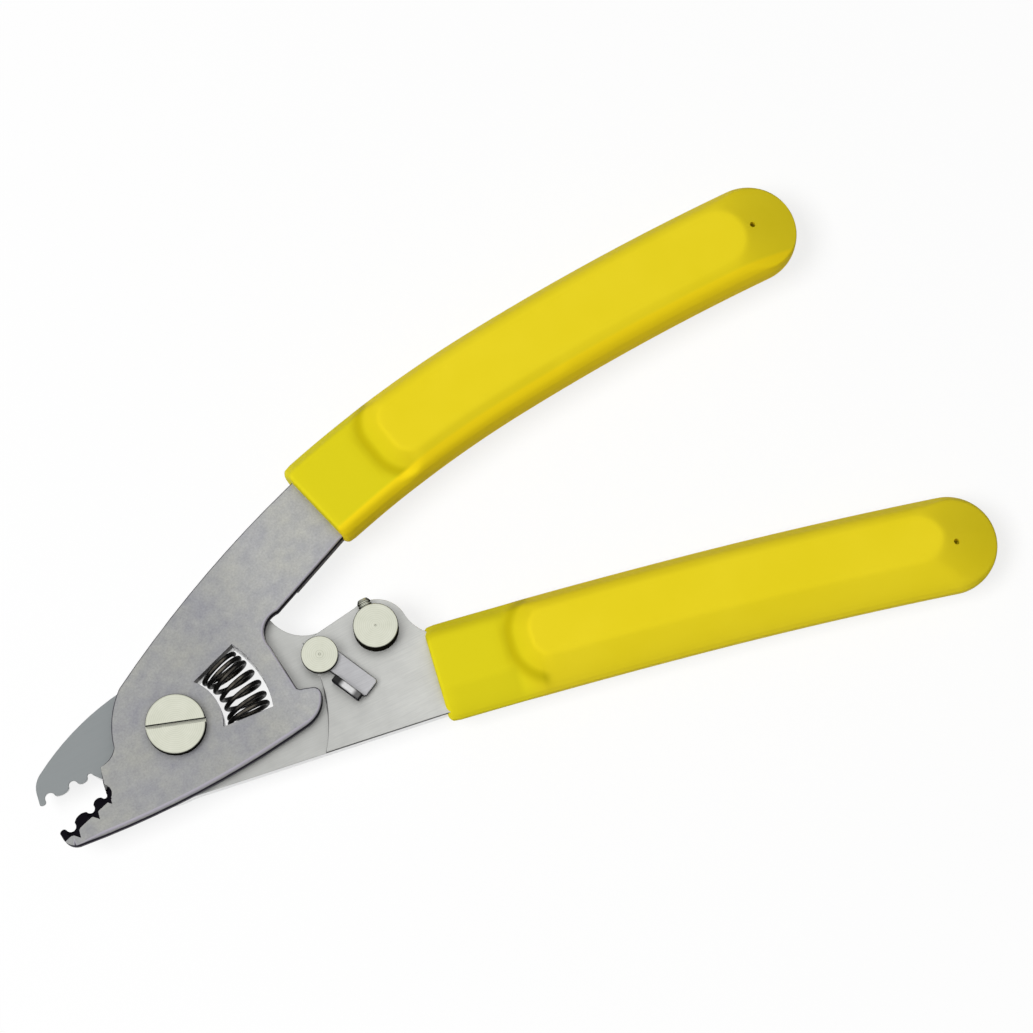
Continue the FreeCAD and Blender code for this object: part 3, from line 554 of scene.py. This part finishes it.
def nickel_steel():
    """Creamy plated steel with faint turning rings about the piece's own axis and its rim painted dark as
    shade.
    """
    m = Nodes("nickel_steel_skin")
    spot = m.spot()
    rings = m.add("ShaderNodeTexWave", Vector=spot, Scale=1.1, Distortion=0.6)
    rings.wave_type = "RINGS"
    rings.rings_direction = "Z"
    patches = m.noise(spot, 0.7, 4.0, 0.6)
    colour = m.ramp(patches, (0.3, (0.68, 0.695, 0.58)), (0.7, (0.78, 0.79, 0.68)))
    colour = m.mix(0.2, colour, m.ramp(rings.outputs["Fac"], (0.2, (0.56, 0.57, 0.46)),
                                       (0.8, (0.84, 0.85, 0.73))))
    # Painted shade: the upright rim turns near black and is made non-metallic
    rim = m.wall(0.4, 0.97)
    colour = m.mix(rim, colour, (0.012, 0.011, 0.009))
    m.set(Base_Color=colour, Metallic=m.math("SUBTRACT", 1.0, rim), Specular_IOR_Level=0.0,
          Roughness=m.span(patches, 0.3, 0.7, 0.4, 0.5), Normal=m.bump(rings.outputs["Fac"], 0.08, 0.02))
    return m.material


def spring_steel():
    """Black oxide, with a brownish grey painted highlight along the tops of the turns."""
    m = Nodes("spring_steel_skin")
    patches = m.noise(m.spot(), 0.8, 3.0)
    colour = m.ramp(patches, (0.35, (0.008, 0.008, 0.009)), (0.7, (0.02, 0.019, 0.017)))
    # Painted highlight on the upward tops of the turns, patchy with the noise
    crest = m.span(m.split(m.place.outputs["Normal"])[2], 0.8, 0.99)
    crest_highlight = m.math("MULTIPLY", crest, m.span(patches, 0.35, 0.65, 0.35, 1.0))
    colour = m.mix(crest_highlight, colour, (0.16, 0.145, 0.12))
    m.set(Base_Color=colour, Metallic=0.8, Roughness=m.span(patches, 0.3, 0.7, 0.36, 0.48),
          Specular_IOR_Level=0.2)
    return m.material


def yellow_vinyl():
    """Dipped vinyl: even yellow, greener where the collar is thin, with painted shade along the ramp and
    painted bounce light that gives the front's lower side a richer yellow.
    """
    m = Nodes("yellow_vinyl_skin")
    spot = m.spot()
    cloud = m.noise(spot, 0.12, 2.0)
    skin = m.noise(spot, 1.6, 3.0)
    colour = m.ramp(cloud, (0.3, (0.845, 0.68, 0.016)), (0.7, (0.87, 0.7, 0.02)))
    thin = m.add("ShaderNodeAttribute")
    thin.attribute_name = "collar"
    colour = m.mix(thin.outputs["Fac"], colour, (0.755, 0.655, 0.014))
    # Painted shade along the foot of the ramp and on the ramp itself
    valley = m.add("ShaderNodeAttribute")
    valley.attribute_name = "valley"
    colour = m.mix(valley.outputs["Fac"], colour, (0.56, 0.46, 0.005))
    # Painted bounce light: a richer yellow along the front grip's lower side
    side = m.add("ShaderNodeAttribute")
    side.attribute_name = "bounce_light"
    colour = m.mix(side.outputs["Fac"], colour, (0.98, 0.74, 0.012))
    m.set(Base_Color=colour, Roughness=m.span(skin, 0.3, 0.7, 0.48, 0.58), Specular_IOR_Level=0.02,
          Normal=m.bump(skin, 0.06, 0.05))
    return m.material


TUMBLED = tumbled_steel()
# Edge colours as painted light and shade: the rear lever's walls pale below as a painted reflection and dark
# at the top, the latch's dark throughout
GROUND = ground_steel("ground_steel_skin", (0.66, 0.665, 0.64), (0.57, 0.575, 0.555), (0.1, 0.1, 0.1),
                      (0.85, 0.85, 0.85))
LATCH = ground_steel("latch_steel_skin", (0.62, 0.62, 0.635), (0.5, 0.5, 0.515), (0.025, 0.025, 0.03),
                     (0.025, 0.025, 0.03), flanged=True)
NICKEL = nickel_steel()
BLACK = spring_steel()
VINYL = yellow_vinyl()


def finish(obj, material):
    """Give a piece its material."""
    obj.data.materials.clear()
    obj.data.materials.append(material)
    return obj


# Levers, latch, nut and washer: the CAD shapes with rounded edges, and wider bevels on the front jaw

def front_rounding(place, facing):
    """Wide along the belly, narrower round the hook, narrow about the window and none at the teeth."""
    if math.hypot(place.x, place.y) < WINDOW_REACH and place.x > WINDOW_NEAR and place.y > WINDOW_LOW:
        return WINDOW_RIM
    belly = facing.x * BELLY_FACE[0] + facing.y * BELLY_FACE[1]
    hook = 1.0 - HOOK_LOSS * ramped(place.x, HOOK_START, HOOK_START + HOOK_TAPER)
    share = ramped(belly, *BELLY_WIDENS) * hook
    clear = max(ramped(place.x, TEETH_START, TEETH_START + TEETH_TAPER), ramped(belly, *BELLY_CLEARS))
    beak = ramped(place.x, BEAK_START, BEAK_START + BEAK_TAPER)
    return (COMMON_RIM + (WIDEST_RIM - COMMON_RIM) * share) * min(clear, beak)


def jaw_cutter(places):
    """A block above sloped (along, inwards, height) corners in the front jaw's own frame."""
    bm = bmesh.new()
    turn = Matrix.Rotation(deg(FRONT_JAW_ANGLE), 3, "Z")
    rings = []
    for lift in (0.0, 1.0):
        corners = []
        for along, inwards, height in places:
            spot = turn @ Vector((along, inwards, height + lift * (FRONT_TOP + 1.0 - height)))
            corners.append(bm.verts.new(spot * MM))
        rings.append(corners)
    for index in range(len(places)):
        after = (index + 1) % len(places)
        bm.faces.new((rings[0][index], rings[0][after], rings[1][after], rings[1][index]))
    bm.faces.new(rings[0])
    bm.faces.new(rings[1])
    return bm


def sharpen_jaw(obj):
    """Bevel the front jaw's teeth, with a pointed gash behind each of its three holes."""
    slope = (FRONT_TOP - JAW_LAND) / (JAW_BEVEL + TOOTH_RISE)
    inner = (JAW_BEVEL + CUT_INSIDE, FRONT_TOP + CUT_INSIDE * slope)
    outer = (JAW_BEVEL - CUT_OUTSIDE, FRONT_TOP - CUT_OUTSIDE * slope)
    bevel = jaw_cutter(((JAW_START, *inner), (JAW_START, *outer), (JAW_END, *outer), (JAW_END, *inner)))
    carve(obj, bevel, JAW_CREASE)
    for middle, half, depth in JAW_GASHES:
        gash = jaw_cutter(((middle - half - GASH_FLARE, GASH_START, JAW_LAND),
                           (middle + half + GASH_FLARE, GASH_START, JAW_LAND),
                           (middle, depth, FRONT_TOP)))
        carve(obj, gash, JAW_CREASE)
    return obj


front = piece(round_top(joined("front_lever"), FRONT_TOP, front_rounding), "front_lever_plate", "front",
              "tumbled_steel", "front_lever")
finish(weighted(sharpen_jaw(front)), TUMBLED)
for node, name, body, slot, width, material in (
        ("rear_lever", "rear_lever_plate", "rear", "ground_steel", 0.12, GROUND),
        ("lock_latch", "lock_latch_plate", "latch", "ground_steel", 0.25, LATCH),
        ("pivot_nut", "pivot_nut_hex", "rear", "nickel_steel", 0.1, NICKEL),
        ("latch_washer", "latch_washer_ring", "rear", "spring_steel", 0.04, BLACK)):
    finish(weighted(dressed(node, name, body, slot, width)), material)


# Turned heads and the stop screw

SCREW_SLOT_LEAN = -18.0
screw = piece(lathe([(0.0, 0.0), (2.3, 0.0), (2.5, 0.2), (2.5, 4.0), (3.0, 4.0), (3.0, 8.88), (4.25, 8.88)]
                    + round_edge(4.25, 10.5, 0.28) + [(0.0, 10.5)]),
              "pivot_screw_turned", "rear", "nickel_steel", "pivot_screw")
carve(screw, box((-5.0, -0.3, 9.6), (5.0, 0.3, 11.0), SCREW_SLOT_LEAN))
finish(weighted(screw), NICKEL)

rivet = piece(lathe([(0.0, 3.3), (1.7, 3.3), (1.9, 3.5), (1.9, 4.0), (1.2, 4.0), (1.2, 8.5), (2.625, 8.5)]
                    + round_edge(2.625, 9.5, 0.2)
                    + [(0.62, 9.5), (0.55, 9.46), (0.48, 9.5), (0.2, 9.5), (0.1, 9.42), (0.0, 9.42)]),
              "latch_rivet_turned", "rear", "nickel_steel", "latch_rivet", origin=(*LATCH_PLACE, 0.0))
finish(weighted(rivet), NICKEL)

post = piece(lathe([(0.0, 3.4), (2.2, 3.4), (2.4, 3.6), (2.4, 4.0), (1.7, 4.0), (1.7, 7.2), (3.2, 7.2)]
                   + round_edge(3.2, 10.2, 0.25) + [(0.15, 10.2), (0.08, 10.12), (0.0, 10.12)]),
             "stop_post_turned", "rear", "nickel_steel", "stop_post", origin=(*POST_PLACE, 0.0))
finish(weighted(post), NICKEL)


SCREW_TIP = 4.765
SCREW_LENGTH = 7.6
SCREW_END = SCREW_TIP - SCREW_LENGTH
SCREW_LEVEL = 8.4
SCREW_PITCH = 0.4
SCREW_CREST = 0.99
SCREW_ROOT = 0.86
SCREW_SIDES = 48
SOCKET_RADIUS = 0.52
SOCKET_DEPTH = 1.2
SOCKET_SIDES = 6


def set_screw():
    """The stop screw along Y, ridged like a thread, with a blunt point and a hex socket at its other end."""
    profile = [(0.0, SCREW_END), (0.8, SCREW_END)]
    place = SCREW_END + 0.2
    while place < SCREW_TIP - 0.5:
        profile += [(SCREW_CREST, place), (SCREW_CREST, place + 0.1),
                    (SCREW_ROOT, place + 0.2), (SCREW_ROOT, place + 0.3)]
        place += SCREW_PITCH
    profile += [(0.97, SCREW_TIP - 0.4), (0.7, SCREW_TIP), (0.0, SCREW_TIP)]
    bm = lathe(profile, SCREW_SIDES)
    socket = lathe([(0.0, SCREW_END - 1.0), (SOCKET_RADIUS, SCREW_END - 1.0),
                    (SOCKET_RADIUS, SCREW_END + SOCKET_DEPTH), (0.0, SCREW_END + SOCKET_DEPTH)], SOCKET_SIDES)
    for solid in (bm, socket):
        bmesh.ops.rotate(solid, verts=solid.verts, matrix=Matrix.Rotation(deg(-90.0), 3, "X"))
    screw = piece(bm, "stop_set_screw", "rear", "nickel_steel", "stop_screw",
                  origin=(POST_PLACE[0], 0.0, SCREW_LEVEL))
    carve(screw, socket)
    return finish(screw, NICKEL)


set_screw()


# Return spring: a round wire on the coil of the CAD solid

SPRING_WIDTH = 6.4
SPRING_WIRE = 0.7
SPRING_HALF_TURNS = 13
SPRING_REACH = 10.2
SPRING_PLAY = 0.1
SPRING_END_GAP = 0.07
SPRING_LEVEL = 6.425
WINDOW_START = -18.9
WINDOW_END = 34.7
WINDOW_LEAN = 15.3
FIRST_OPEN_HALF_TURN = 2
LAST_OPEN_HALF_TURN = 8
WIRE_SIDES = 12
WIRE_SHARP = 60.0
HALF_TURN_STEPS = 16

spring_half = (SPRING_WIDTH - SPRING_WIRE) / 2
spring_inset = math.degrees((SPRING_WIRE / 2 + SPRING_PLAY) / (SPRING_REACH - spring_half))
spring_low = WINDOW_START + spring_inset
spring_high = WINDOW_END - spring_inset


def spring_corner(index, angle):
    """Where the wire crosses the middle level, outside for odd half turns and inside for even ones."""
    lean = deg(WINDOW_LEAN) * (spring_low + spring_high - 2 * angle) / (spring_high - spring_low)
    away = SPRING_REACH + (spring_half if index % 2 else -spring_half)
    turn = deg(angle) + lean - math.asin(SPRING_REACH * math.sin(lean) / away)
    return Vector((away * math.cos(turn), away * math.sin(turn), SPRING_LEVEL))


def spring_path():
    """Points along the coil: half circles over the top and underneath in turn."""
    inner = spring_corner(0, spring_high) - spring_corner(0, spring_low)
    close = (SPRING_WIRE + SPRING_END_GAP) / (inner.length / (spring_high - spring_low)) / 2
    halves = SPRING_HALF_TURNS
    opened = LAST_OPEN_HALF_TURN - FIRST_OPEN_HALF_TURN + 1
    wide = (spring_high - spring_low - (halves - opened) * close) / opened
    angle = spring_low
    corners = [spring_corner(0, angle)]
    for half in range(halves):
        angle += wide if FIRST_OPEN_HALF_TURN <= half <= LAST_OPEN_HALF_TURN else close
        corners.append(spring_corner(half + 1, angle))
    points = []
    for half, (first, last) in enumerate(zip(corners, corners[1:])):
        middle = (first + last) / 2
        arm = first - middle
        rise = Vector((0.0, 0.0, arm.length if half % 2 == 0 else -arm.length))
        for step in range(HALF_TURN_STEPS):
            swing = math.pi * step / HALF_TURN_STEPS
            points.append(middle + arm * math.cos(swing) + rise * math.sin(swing))
    points.append(corners[-1])
    return points


spring = piece(tube(spring_path(), SPRING_WIRE / 2, WIRE_SIDES), "return_spring_wire", None,
               "spring_steel", sharp=WIRE_SHARP)
finish(spring, BLACK)
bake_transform(spring)
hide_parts("return_spring")


# Grips: a height over the plan on each side of the middle plane

GRIP_HALF = 7.04
PANEL_HEIGHT = 5.6
COLLAR_HEIGHT = 3.8
COLLAR_LENGTH = 11.5
RAMP_LENGTH = 2.8
RAMP_VALLEY = 0.7
VALLEY_DIP = 0.2
VALLEY_LENGTH = 0.9
RAMP_SHADE = 0.35
RAMP_FADE = 0.6
PANEL_START_ROUND = 2.6
PANEL_END_ROUND = 3.8
TIP_SLOPE_LENGTH = 8.2
TIP_SLOPE = 0.52
TIP_CURVE = 0.006
MOUTH_EDGE = 0.6
MOUTH_CORNER = 1.1
CREASE = 0.4
BEVEL_BLUR = 0.3
TANG_HALF = 1.6
TANG_DEPTH = 3.0
ACROSS_STEPS = 64
MOUTH_STEPS = 6
TIP_STEPS = 26
PLAIN_STRIDE = 1.0
RAMP_STRIDE = 0.25
RAMP_MARGIN = 1.5
TIP_STRIDE = 0.35
TIP_MARGIN = 1.0
VENT_SIDES = 24
VENT_RADIUS = 0.42
VENT_DEPTH = 0.7
VENT_RISE = 1.5
BOUNCE_LIGHT_FADE = 0.4
GRIP_SHARP = 50.0

# Corners of a grip's section as (inwards from the outline, height), on its upper and lower sides in plan
UPPER_SIDE = ((0.4, 1.6), (1.5, 4.2), (2.3, 5.2), (3.0, 5.6))
FRONT_LOWER_SIDE = ((0.45, 2.9), (0.8, 3.75), (2.2, 5.42), (3.3, 5.6))
REAR_LOWER_SIDE = ((0.15, 1.3), (1.0, 2.45), (2.05, 3.5), (4.55, 5.6))


def spine(start, heading, arcs):
    """Centre line of a grip: right-hand arcs from its mouth, then straight on."""
    runs = []
    x, y = start
    for radius, turn in arcs:
        runs.append((x, y, heading, radius, radius * deg(turn)))
        x += radius * (math.sin(deg(heading)) - math.sin(deg(heading - turn)))
        y += radius * (math.cos(deg(heading - turn)) - math.cos(deg(heading)))
        heading -= turn
    total = sum(run[4] for run in runs)

    def at(along):
        left = along
        for index, (px, py, facing, radius, length) in enumerate(runs):
            if left > length and index + 1 < len(runs):
                left -= length
                continue
            inside = min(left, length)
            turned = facing - math.degrees(inside / radius)
            px += radius * (math.sin(deg(facing)) - math.sin(deg(turned)))
            py += radius * (math.cos(deg(turned)) - math.cos(deg(facing)))
            beyond = left - inside
            return px + beyond * math.cos(deg(turned)), py + beyond * math.sin(deg(turned)), turned

    return at, total


def side_height(edge, corners):
    """Height at a distance inwards from the outline: a rounded foot, then bevels up to the panel."""
    depth, height = corners[0]
    if edge < depth:
        return height * math.sqrt(1 - (1 - edge / depth) ** 2)
    for (near, low), (far, high) in zip(corners, corners[1:]):
        if edge < far:
            return low + (high - low) * (edge - near) / (far - near)
    return corners[-1][1]


def soft_side_height(edge, corners):
    """The same with its creases blurred a little."""
    blur = min(BEVEL_BLUR, edge)
    return sum(side_height(edge + blur * share, corners) for share in (-1.0, -0.5, 0.0, 0.5, 1.0)) / 5


def panel_distance(along, across, first, last, low, high):
    """Distance outside the raised panel, a strip with rounded ends."""
    middle = (first + last) / 2
    corner = PANEL_START_ROUND if along < middle else PANEL_END_ROUND
    a = abs(along - middle) - (last - first) / 2 + corner
    c = abs(across - (low + high) / 2) - (high - low) / 2 + corner
    outside = math.hypot(max(a, 0.0), max(c, 0.0))
    return max(outside + min(max(a, c), 0.0) - corner, 0.0)


def grip_away(along, across, length, lower):
    """Distance outside the raised panel of a grip."""
    first = COLLAR_LENGTH + RAMP_LENGTH
    last = length - TIP_SLOPE_LENGTH
    low, high = lower[-1][0] - GRIP_HALF, GRIP_HALF - UPPER_SIDE[-1][0]
    return panel_distance(along, across, first, last, low, high)


def valley_share(along, away):
    """1 along the foot of the ramp, falling to 0 on both sides of it and beyond the panel's corners."""
    beyond = max(along - COLLAR_LENGTH - RAMP_LENGTH, 0.0)
    across_foot = (away - RAMP_LENGTH - VALLEY_LENGTH / 3) / VALLEY_LENGTH
    return math.exp(-across_foot ** 2 - (beyond / VALLEY_LENGTH) ** 2)


def ramp_share(along, away):
    """RAMP_SHADE on the ramp, fading out onto the panel and beyond its corners."""
    beyond = max(along - COLLAR_LENGTH - RAMP_LENGTH, 0.0)
    shade = RAMP_SHADE * min(away / RAMP_FADE, 1.0) if away < RAMP_LENGTH else 0.0
    return shade * math.exp(-beyond ** 2)


def grip_top(along, across, length, lower):
    """Height of collar, ramp, panel and sloped tip, before the sides cut them."""
    away = grip_away(along, across, length, lower)
    if along > length / 2:
        return PANEL_HEIGHT - TIP_SLOPE * away - TIP_CURVE * away * away
    fall = (PANEL_HEIGHT - COLLAR_HEIGHT) / RAMP_LENGTH
    ramp = smooth_max(PANEL_HEIGHT - fall * away, COLLAR_HEIGHT, RAMP_VALLEY)
    return ramp - VALLEY_DIP * valley_share(along, away)


def grip_height(along, across, half, length, lower, sink):
    """Half thickness of a grip at a place on its plan."""
    centre = length - GRIP_HALF
    if along > centre:
        reach = math.hypot(along - centre, across)
        edge = GRIP_HALF - reach
        turn = across / reach if reach else 0.0
        upper = 0.5 + 0.5 * turn
    else:
        edge = half - abs(across)
        upper = 1.0 if across > 0.0 else 0.0
    if edge <= 1e-9:
        return 0.0
    side = upper * soft_side_height(edge, UPPER_SIDE) + (1.0 - upper) * soft_side_height(edge, lower)
    top = grip_top(along, across, length, lower)
    if along < length / 2:
        middle = grip_top(along, 0.0, length, lower)
        side *= 1.0 - sink * (1.0 - middle / PANEL_HEIGHT)
    if along < MOUTH_EDGE:
        drop = MOUTH_EDGE - math.sqrt(MOUTH_EDGE ** 2 - (MOUTH_EDGE - along) ** 2)
        top = min(top, COLLAR_HEIGHT - drop)
    return max(smooth_min(side, top, CREASE), 0.0)


def grip_stations(length):
    """Places along a grip at which its sections lie."""
    places = [MOUTH_EDGE * (1 - math.cos(math.pi / 2 * step / MOUTH_STEPS))
              for step in range(MOUTH_STEPS + 1)]
    centre = length - GRIP_HALF
    while places[-1] < centre:
        here = places[-1]
        if COLLAR_LENGTH - RAMP_MARGIN < here < COLLAR_LENGTH + RAMP_LENGTH + PANEL_START_ROUND:
            stride = RAMP_STRIDE
        elif here > length - TIP_SLOPE_LENGTH - PANEL_END_ROUND - TIP_MARGIN:
            stride = TIP_STRIDE
        else:
            stride = PLAIN_STRIDE
        places.append(min(here + stride, centre))
    for step in range(1, TIP_STEPS):
        places.append(centre + GRIP_HALF * math.sin(math.pi / 2 * step / TIP_STEPS))
    return places


def grip_half_width(along, length):
    """Half width of the plan, with round mouth corners and a round end."""
    centre = length - GRIP_HALF
    if along > centre:
        return math.sqrt(GRIP_HALF ** 2 - (along - centre) ** 2)
    if along < MOUTH_CORNER:
        return GRIP_HALF - MOUTH_CORNER + math.sqrt(MOUTH_CORNER ** 2 - (MOUTH_CORNER - along) ** 2)
    return GRIP_HALF


def grip(name, body, node, level, start, heading, arcs, tang, lower, sink, vent):
    """A dipped grip, with a slot at its mouth for the tang and a vent hole in its tip.

    Its sides sink with the collar by the share sink. The vent is (x, y, height of the skin there).
    """
    at, run = spine(start, heading, arcs)
    length = run + GRIP_HALF
    bm = bmesh.new()
    collar = bm.verts.layers.float.new("collar")
    # Layers for painted shade in the ramp's valley and for painted bounce light along the front's lower side
    valley = bm.verts.layers.float.new("valley")
    bounce_light = bm.verts.layers.float.new("bounce_light")

    def vertex(along, across, height):
        x, y, facing = at(along)
        made = bm.verts.new(((x - across * math.sin(deg(facing))) * MM,
                             (y + across * math.cos(deg(facing))) * MM, (level + height) * MM))
        made[collar] = ramped(COLLAR_LENGTH + RAMP_LENGTH - along, 0.0, RAMP_LENGTH)
        # Painted bounce light along the front grip's lower side
        if lower is FRONT_LOWER_SIDE:
            made[bounce_light] = ramped(lower[2][0] - GRIP_HALF - across, 0.0, BOUNCE_LIGHT_FADE)
        # Painted shade along the foot of the ramp and on the ramp itself
        if along < length / 2:
            away = grip_away(along, across, length, lower)
            made[valley] = max(valley_share(along, away), ramp_share(along, away))
        return made

    rings = []
    for along in grip_stations(length):
        half = grip_half_width(along, length)
        section = []
        for step in range(2 * ACROSS_STEPS):
            across = half * math.cos(math.pi * step / ACROSS_STEPS)
            if step <= ACROSS_STEPS:
                height = grip_height(along, across, half, length, lower, sink)
            else:
                height = -grip_height(along, across, half, length, REAR_LOWER_SIDE, sink)
            section.append((across, height))
        if not rings:
            low, high = tang
            slot = [(min(max(across, low), high), min(max(height, -TANG_HALF), TANG_HALF))
                    for across, height in section]
            rings = [[vertex(depth, *point) for point in slot] for depth in (TANG_DEPTH, 0.0)]
        rings.append([vertex(along, *point) for point in section])
    for first, second in zip(rings, rings[1:]):
        for side in range(len(first)):
            after = (side + 1) % len(first)
            bm.faces.new((first[side], first[after], second[after], second[side]))
    tip = vertex(length, 0.0, 0.0)
    for side in range(len(rings[-1])):
        bm.faces.new((rings[-1][side], rings[-1][(side + 1) % len(rings[-1])], tip))
    bm.faces.new(rings[0])
    bmesh.ops.remove_doubles(bm, verts=bm.verts, dist=FINE_JOIN)
    bmesh.ops.dissolve_degenerate(bm, edges=bm.edges, dist=FINE_JOIN)
    sleeve = piece(bm, name, body, "yellow_vinyl", node, sharp=GRIP_SHARP)
    x, y, top = vent
    hole = lathe([(0.0, top - VENT_DEPTH), (VENT_RADIUS, top - VENT_DEPTH), (VENT_RADIUS, top + VENT_RISE),
                  (0.0, top + VENT_RISE)], VENT_SIDES)
    bmesh.ops.translate(hole, verts=hole.verts, vec=(x * MM, y * MM, 0.0))
    carve(sleeve, hole, GRIP_SHARP)
    return finish(sleeve, VINYL)


grip("front_grip_sleeve", "front", "front_grip", FRONT_MIDDLE, start=(30.8, 19.9), heading=17.0,
     arcs=((175.0, 10.5), (380.0, 6.41)), tang=(-6.0, 4.75), lower=FRONT_LOWER_SIDE, sink=0.5,
     vent=(105.0, 28.8, 10.9))
grip("rear_grip_sleeve", "rear", "rear_grip", REAR_MIDDLE, start=(35.9, -9.1), heading=-9.6,
     arcs=((1120.0, 1.9), (720.0, 3.02)), tang=(-5.9, 6.2), lower=REAR_LOWER_SIDE, sink=1.0,
     vent=(109.9, -25.1, 9.2))


# Floor, light and camera

FLOOR_SIZE = 6.0
FLOOR_DROP = 0.02
FLOOR_GLOW = 0.82
FLOOR_TINT = 0.75
DOME_LIGHT = 0.17
DOME_RAMP = ((0.12, 0.05), (0.5, 1.0), (0.9, 1.0))


def seen_directly(tree):
    """1 for rays from the camera, from a glossy surface or through glass, and 0 for other light."""
    path = tree.nodes.new("ShaderNodeLightPath")
    total = path.outputs["Is Camera Ray"]
    for kind in ("Is Glossy Ray", "Is Transmission Ray"):
        join = tree.nodes.new("ShaderNodeMath")
        join.operation = "MAXIMUM"
        tree.links.new(total, join.inputs[0])
        tree.links.new(path.outputs[kind], join.inputs[1])
        total = join.outputs[0]
    return total


def floor():
    """A pale floor that shows white, with the object's shadow on it."""
    bm = bmesh.new()
    bmesh.ops.create_grid(bm, x_segments=1, y_segments=1, size=FLOOR_SIZE / 2)
    mesh = bpy.data.meshes.new("studio_floor")
    bm.to_mesh(mesh)
    bm.free()
    obj = bpy.data.objects.new("studio_floor", mesh)
    bpy.context.scene.collection.objects.link(obj)
    obj.location = (0.0, 0.0, -FLOOR_DROP * MM)
    material = bpy.data.materials.new("pale_floor")
    material.use_nodes = True
    tree = material.node_tree
    tree.nodes.remove(tree.nodes["Principled BSDF"])
    seen = seen_directly(tree)
    tint = tree.nodes.new("ShaderNodeMix")
    tint.data_type = "RGBA"
    tint.inputs[6].default_value = (FLOOR_TINT, FLOOR_TINT, FLOOR_TINT, 1.0)
    tint.inputs[7].default_value = (1.0, 1.0, 1.0, 1.0)
    tree.links.new(seen, tint.inputs[0])
    matte = tree.nodes.new("ShaderNodeBsdfDiffuse")
    tree.links.new(tint.outputs[2], matte.inputs["Color"])
    glow = tree.nodes.new("ShaderNodeEmission")
    glow.inputs["Strength"].default_value = 1.0
    share = tree.nodes.new("ShaderNodeMath")
    share.operation = "MULTIPLY"
    share.inputs[1].default_value = FLOOR_GLOW
    tree.links.new(seen, share.inputs[0])
    mix = tree.nodes.new("ShaderNodeMixShader")
    tree.links.new(share.outputs[0], mix.inputs[0])
    tree.links.new(matte.outputs[0], mix.inputs[1])
    tree.links.new(glow.outputs[0], mix.inputs[2])
    tree.links.new(mix.outputs[0], tree.nodes["Material Output"].inputs["Surface"])
    mesh.materials.append(material)


def sky():
    """A soft dome: white to the camera, bright overhead in reflections, dim as a light."""
    world = bpy.data.worlds.new("soft_dome")
    bpy.context.scene.world = world
    world.use_nodes = True
    tree = world.node_tree
    place = tree.nodes.new("ShaderNodeTexCoord")
    split = tree.nodes.new("ShaderNodeSeparateXYZ")
    tree.links.new(place.outputs["Generated"], split.inputs[0])
    ramp = tree.nodes.new("ShaderNodeValToRGB")
    ramp.color_ramp.elements.new(0.5)
    for element, (height, grey) in zip(ramp.color_ramp.elements, DOME_RAMP):
        element.position = height
        element.color = (grey, grey, grey, 1.0)
    tree.links.new(split.outputs[2], ramp.inputs[0])
    reflected = tree.nodes.new("ShaderNodeMix")
    reflected.data_type = "RGBA"
    reflected.inputs[6].default_value = (DOME_LIGHT, DOME_LIGHT, DOME_LIGHT, 1.0)
    tree.links.new(seen_directly(tree), reflected.inputs[0])
    tree.links.new(ramp.outputs[0], reflected.inputs[7])
    path = tree.nodes.new("ShaderNodeLightPath")
    shown = tree.nodes.new("ShaderNodeMix")
    shown.data_type = "RGBA"
    shown.inputs[7].default_value = (1.0, 1.0, 1.0, 1.0)
    tree.links.new(path.outputs["Is Camera Ray"], shown.inputs[0])
    tree.links.new(reflected.outputs[2], shown.inputs[6])
    tree.links.new(shown.outputs[2], tree.nodes["Background"].inputs["Color"])
    tree.nodes["Background"].inputs["Strength"].default_value = 1.0


def aim(obj, azimuth, elevation, distance):
    """Put a lamp or camera on a sphere about the aim, looking inwards."""
    back = Vector((math.sin(deg(azimuth)) * math.cos(deg(elevation)),
                   -math.cos(deg(azimuth)) * math.cos(deg(elevation)), math.sin(deg(elevation))))
    obj.location = (Vector(VIEW_AIM) + back * distance) * MM
    obj.rotation_euler = (-back).to_track_quat("-Z", "Y").to_euler()


def lamp(name, azimuth, elevation, distance, size, energy):
    """A square soft light that looks at the tool and isn't mirrored in it."""
    light = bpy.data.lights.new(name, "AREA")
    light.shape = "SQUARE"
    light.size = size
    light.energy = energy
    obj = bpy.data.objects.new(name, light)
    bpy.context.scene.collection.objects.link(obj)
    obj.visible_glossy = False
    aim(obj, azimuth, elevation, distance)


floor()
sky()
lamp("key_light", azimuth=-93.0, elevation=63.0, distance=1400.0, size=0.6, energy=17.6)

camera_data = bpy.data.cameras.new("photo_camera")
camera_data.sensor_width = SENSOR_WIDTH
camera_data.lens = LENS
camera_data.clip_start = 0.01
camera = bpy.data.objects.new("photo_camera", camera_data)
bpy.context.scene.collection.objects.link(camera)
aim(camera, VIEW_AZIMUTH, VIEW_ELEVATION, VIEW_DISTANCE)
bpy.context.scene.camera = camera
bpy.context.scene.view_settings.view_transform = "Standard"
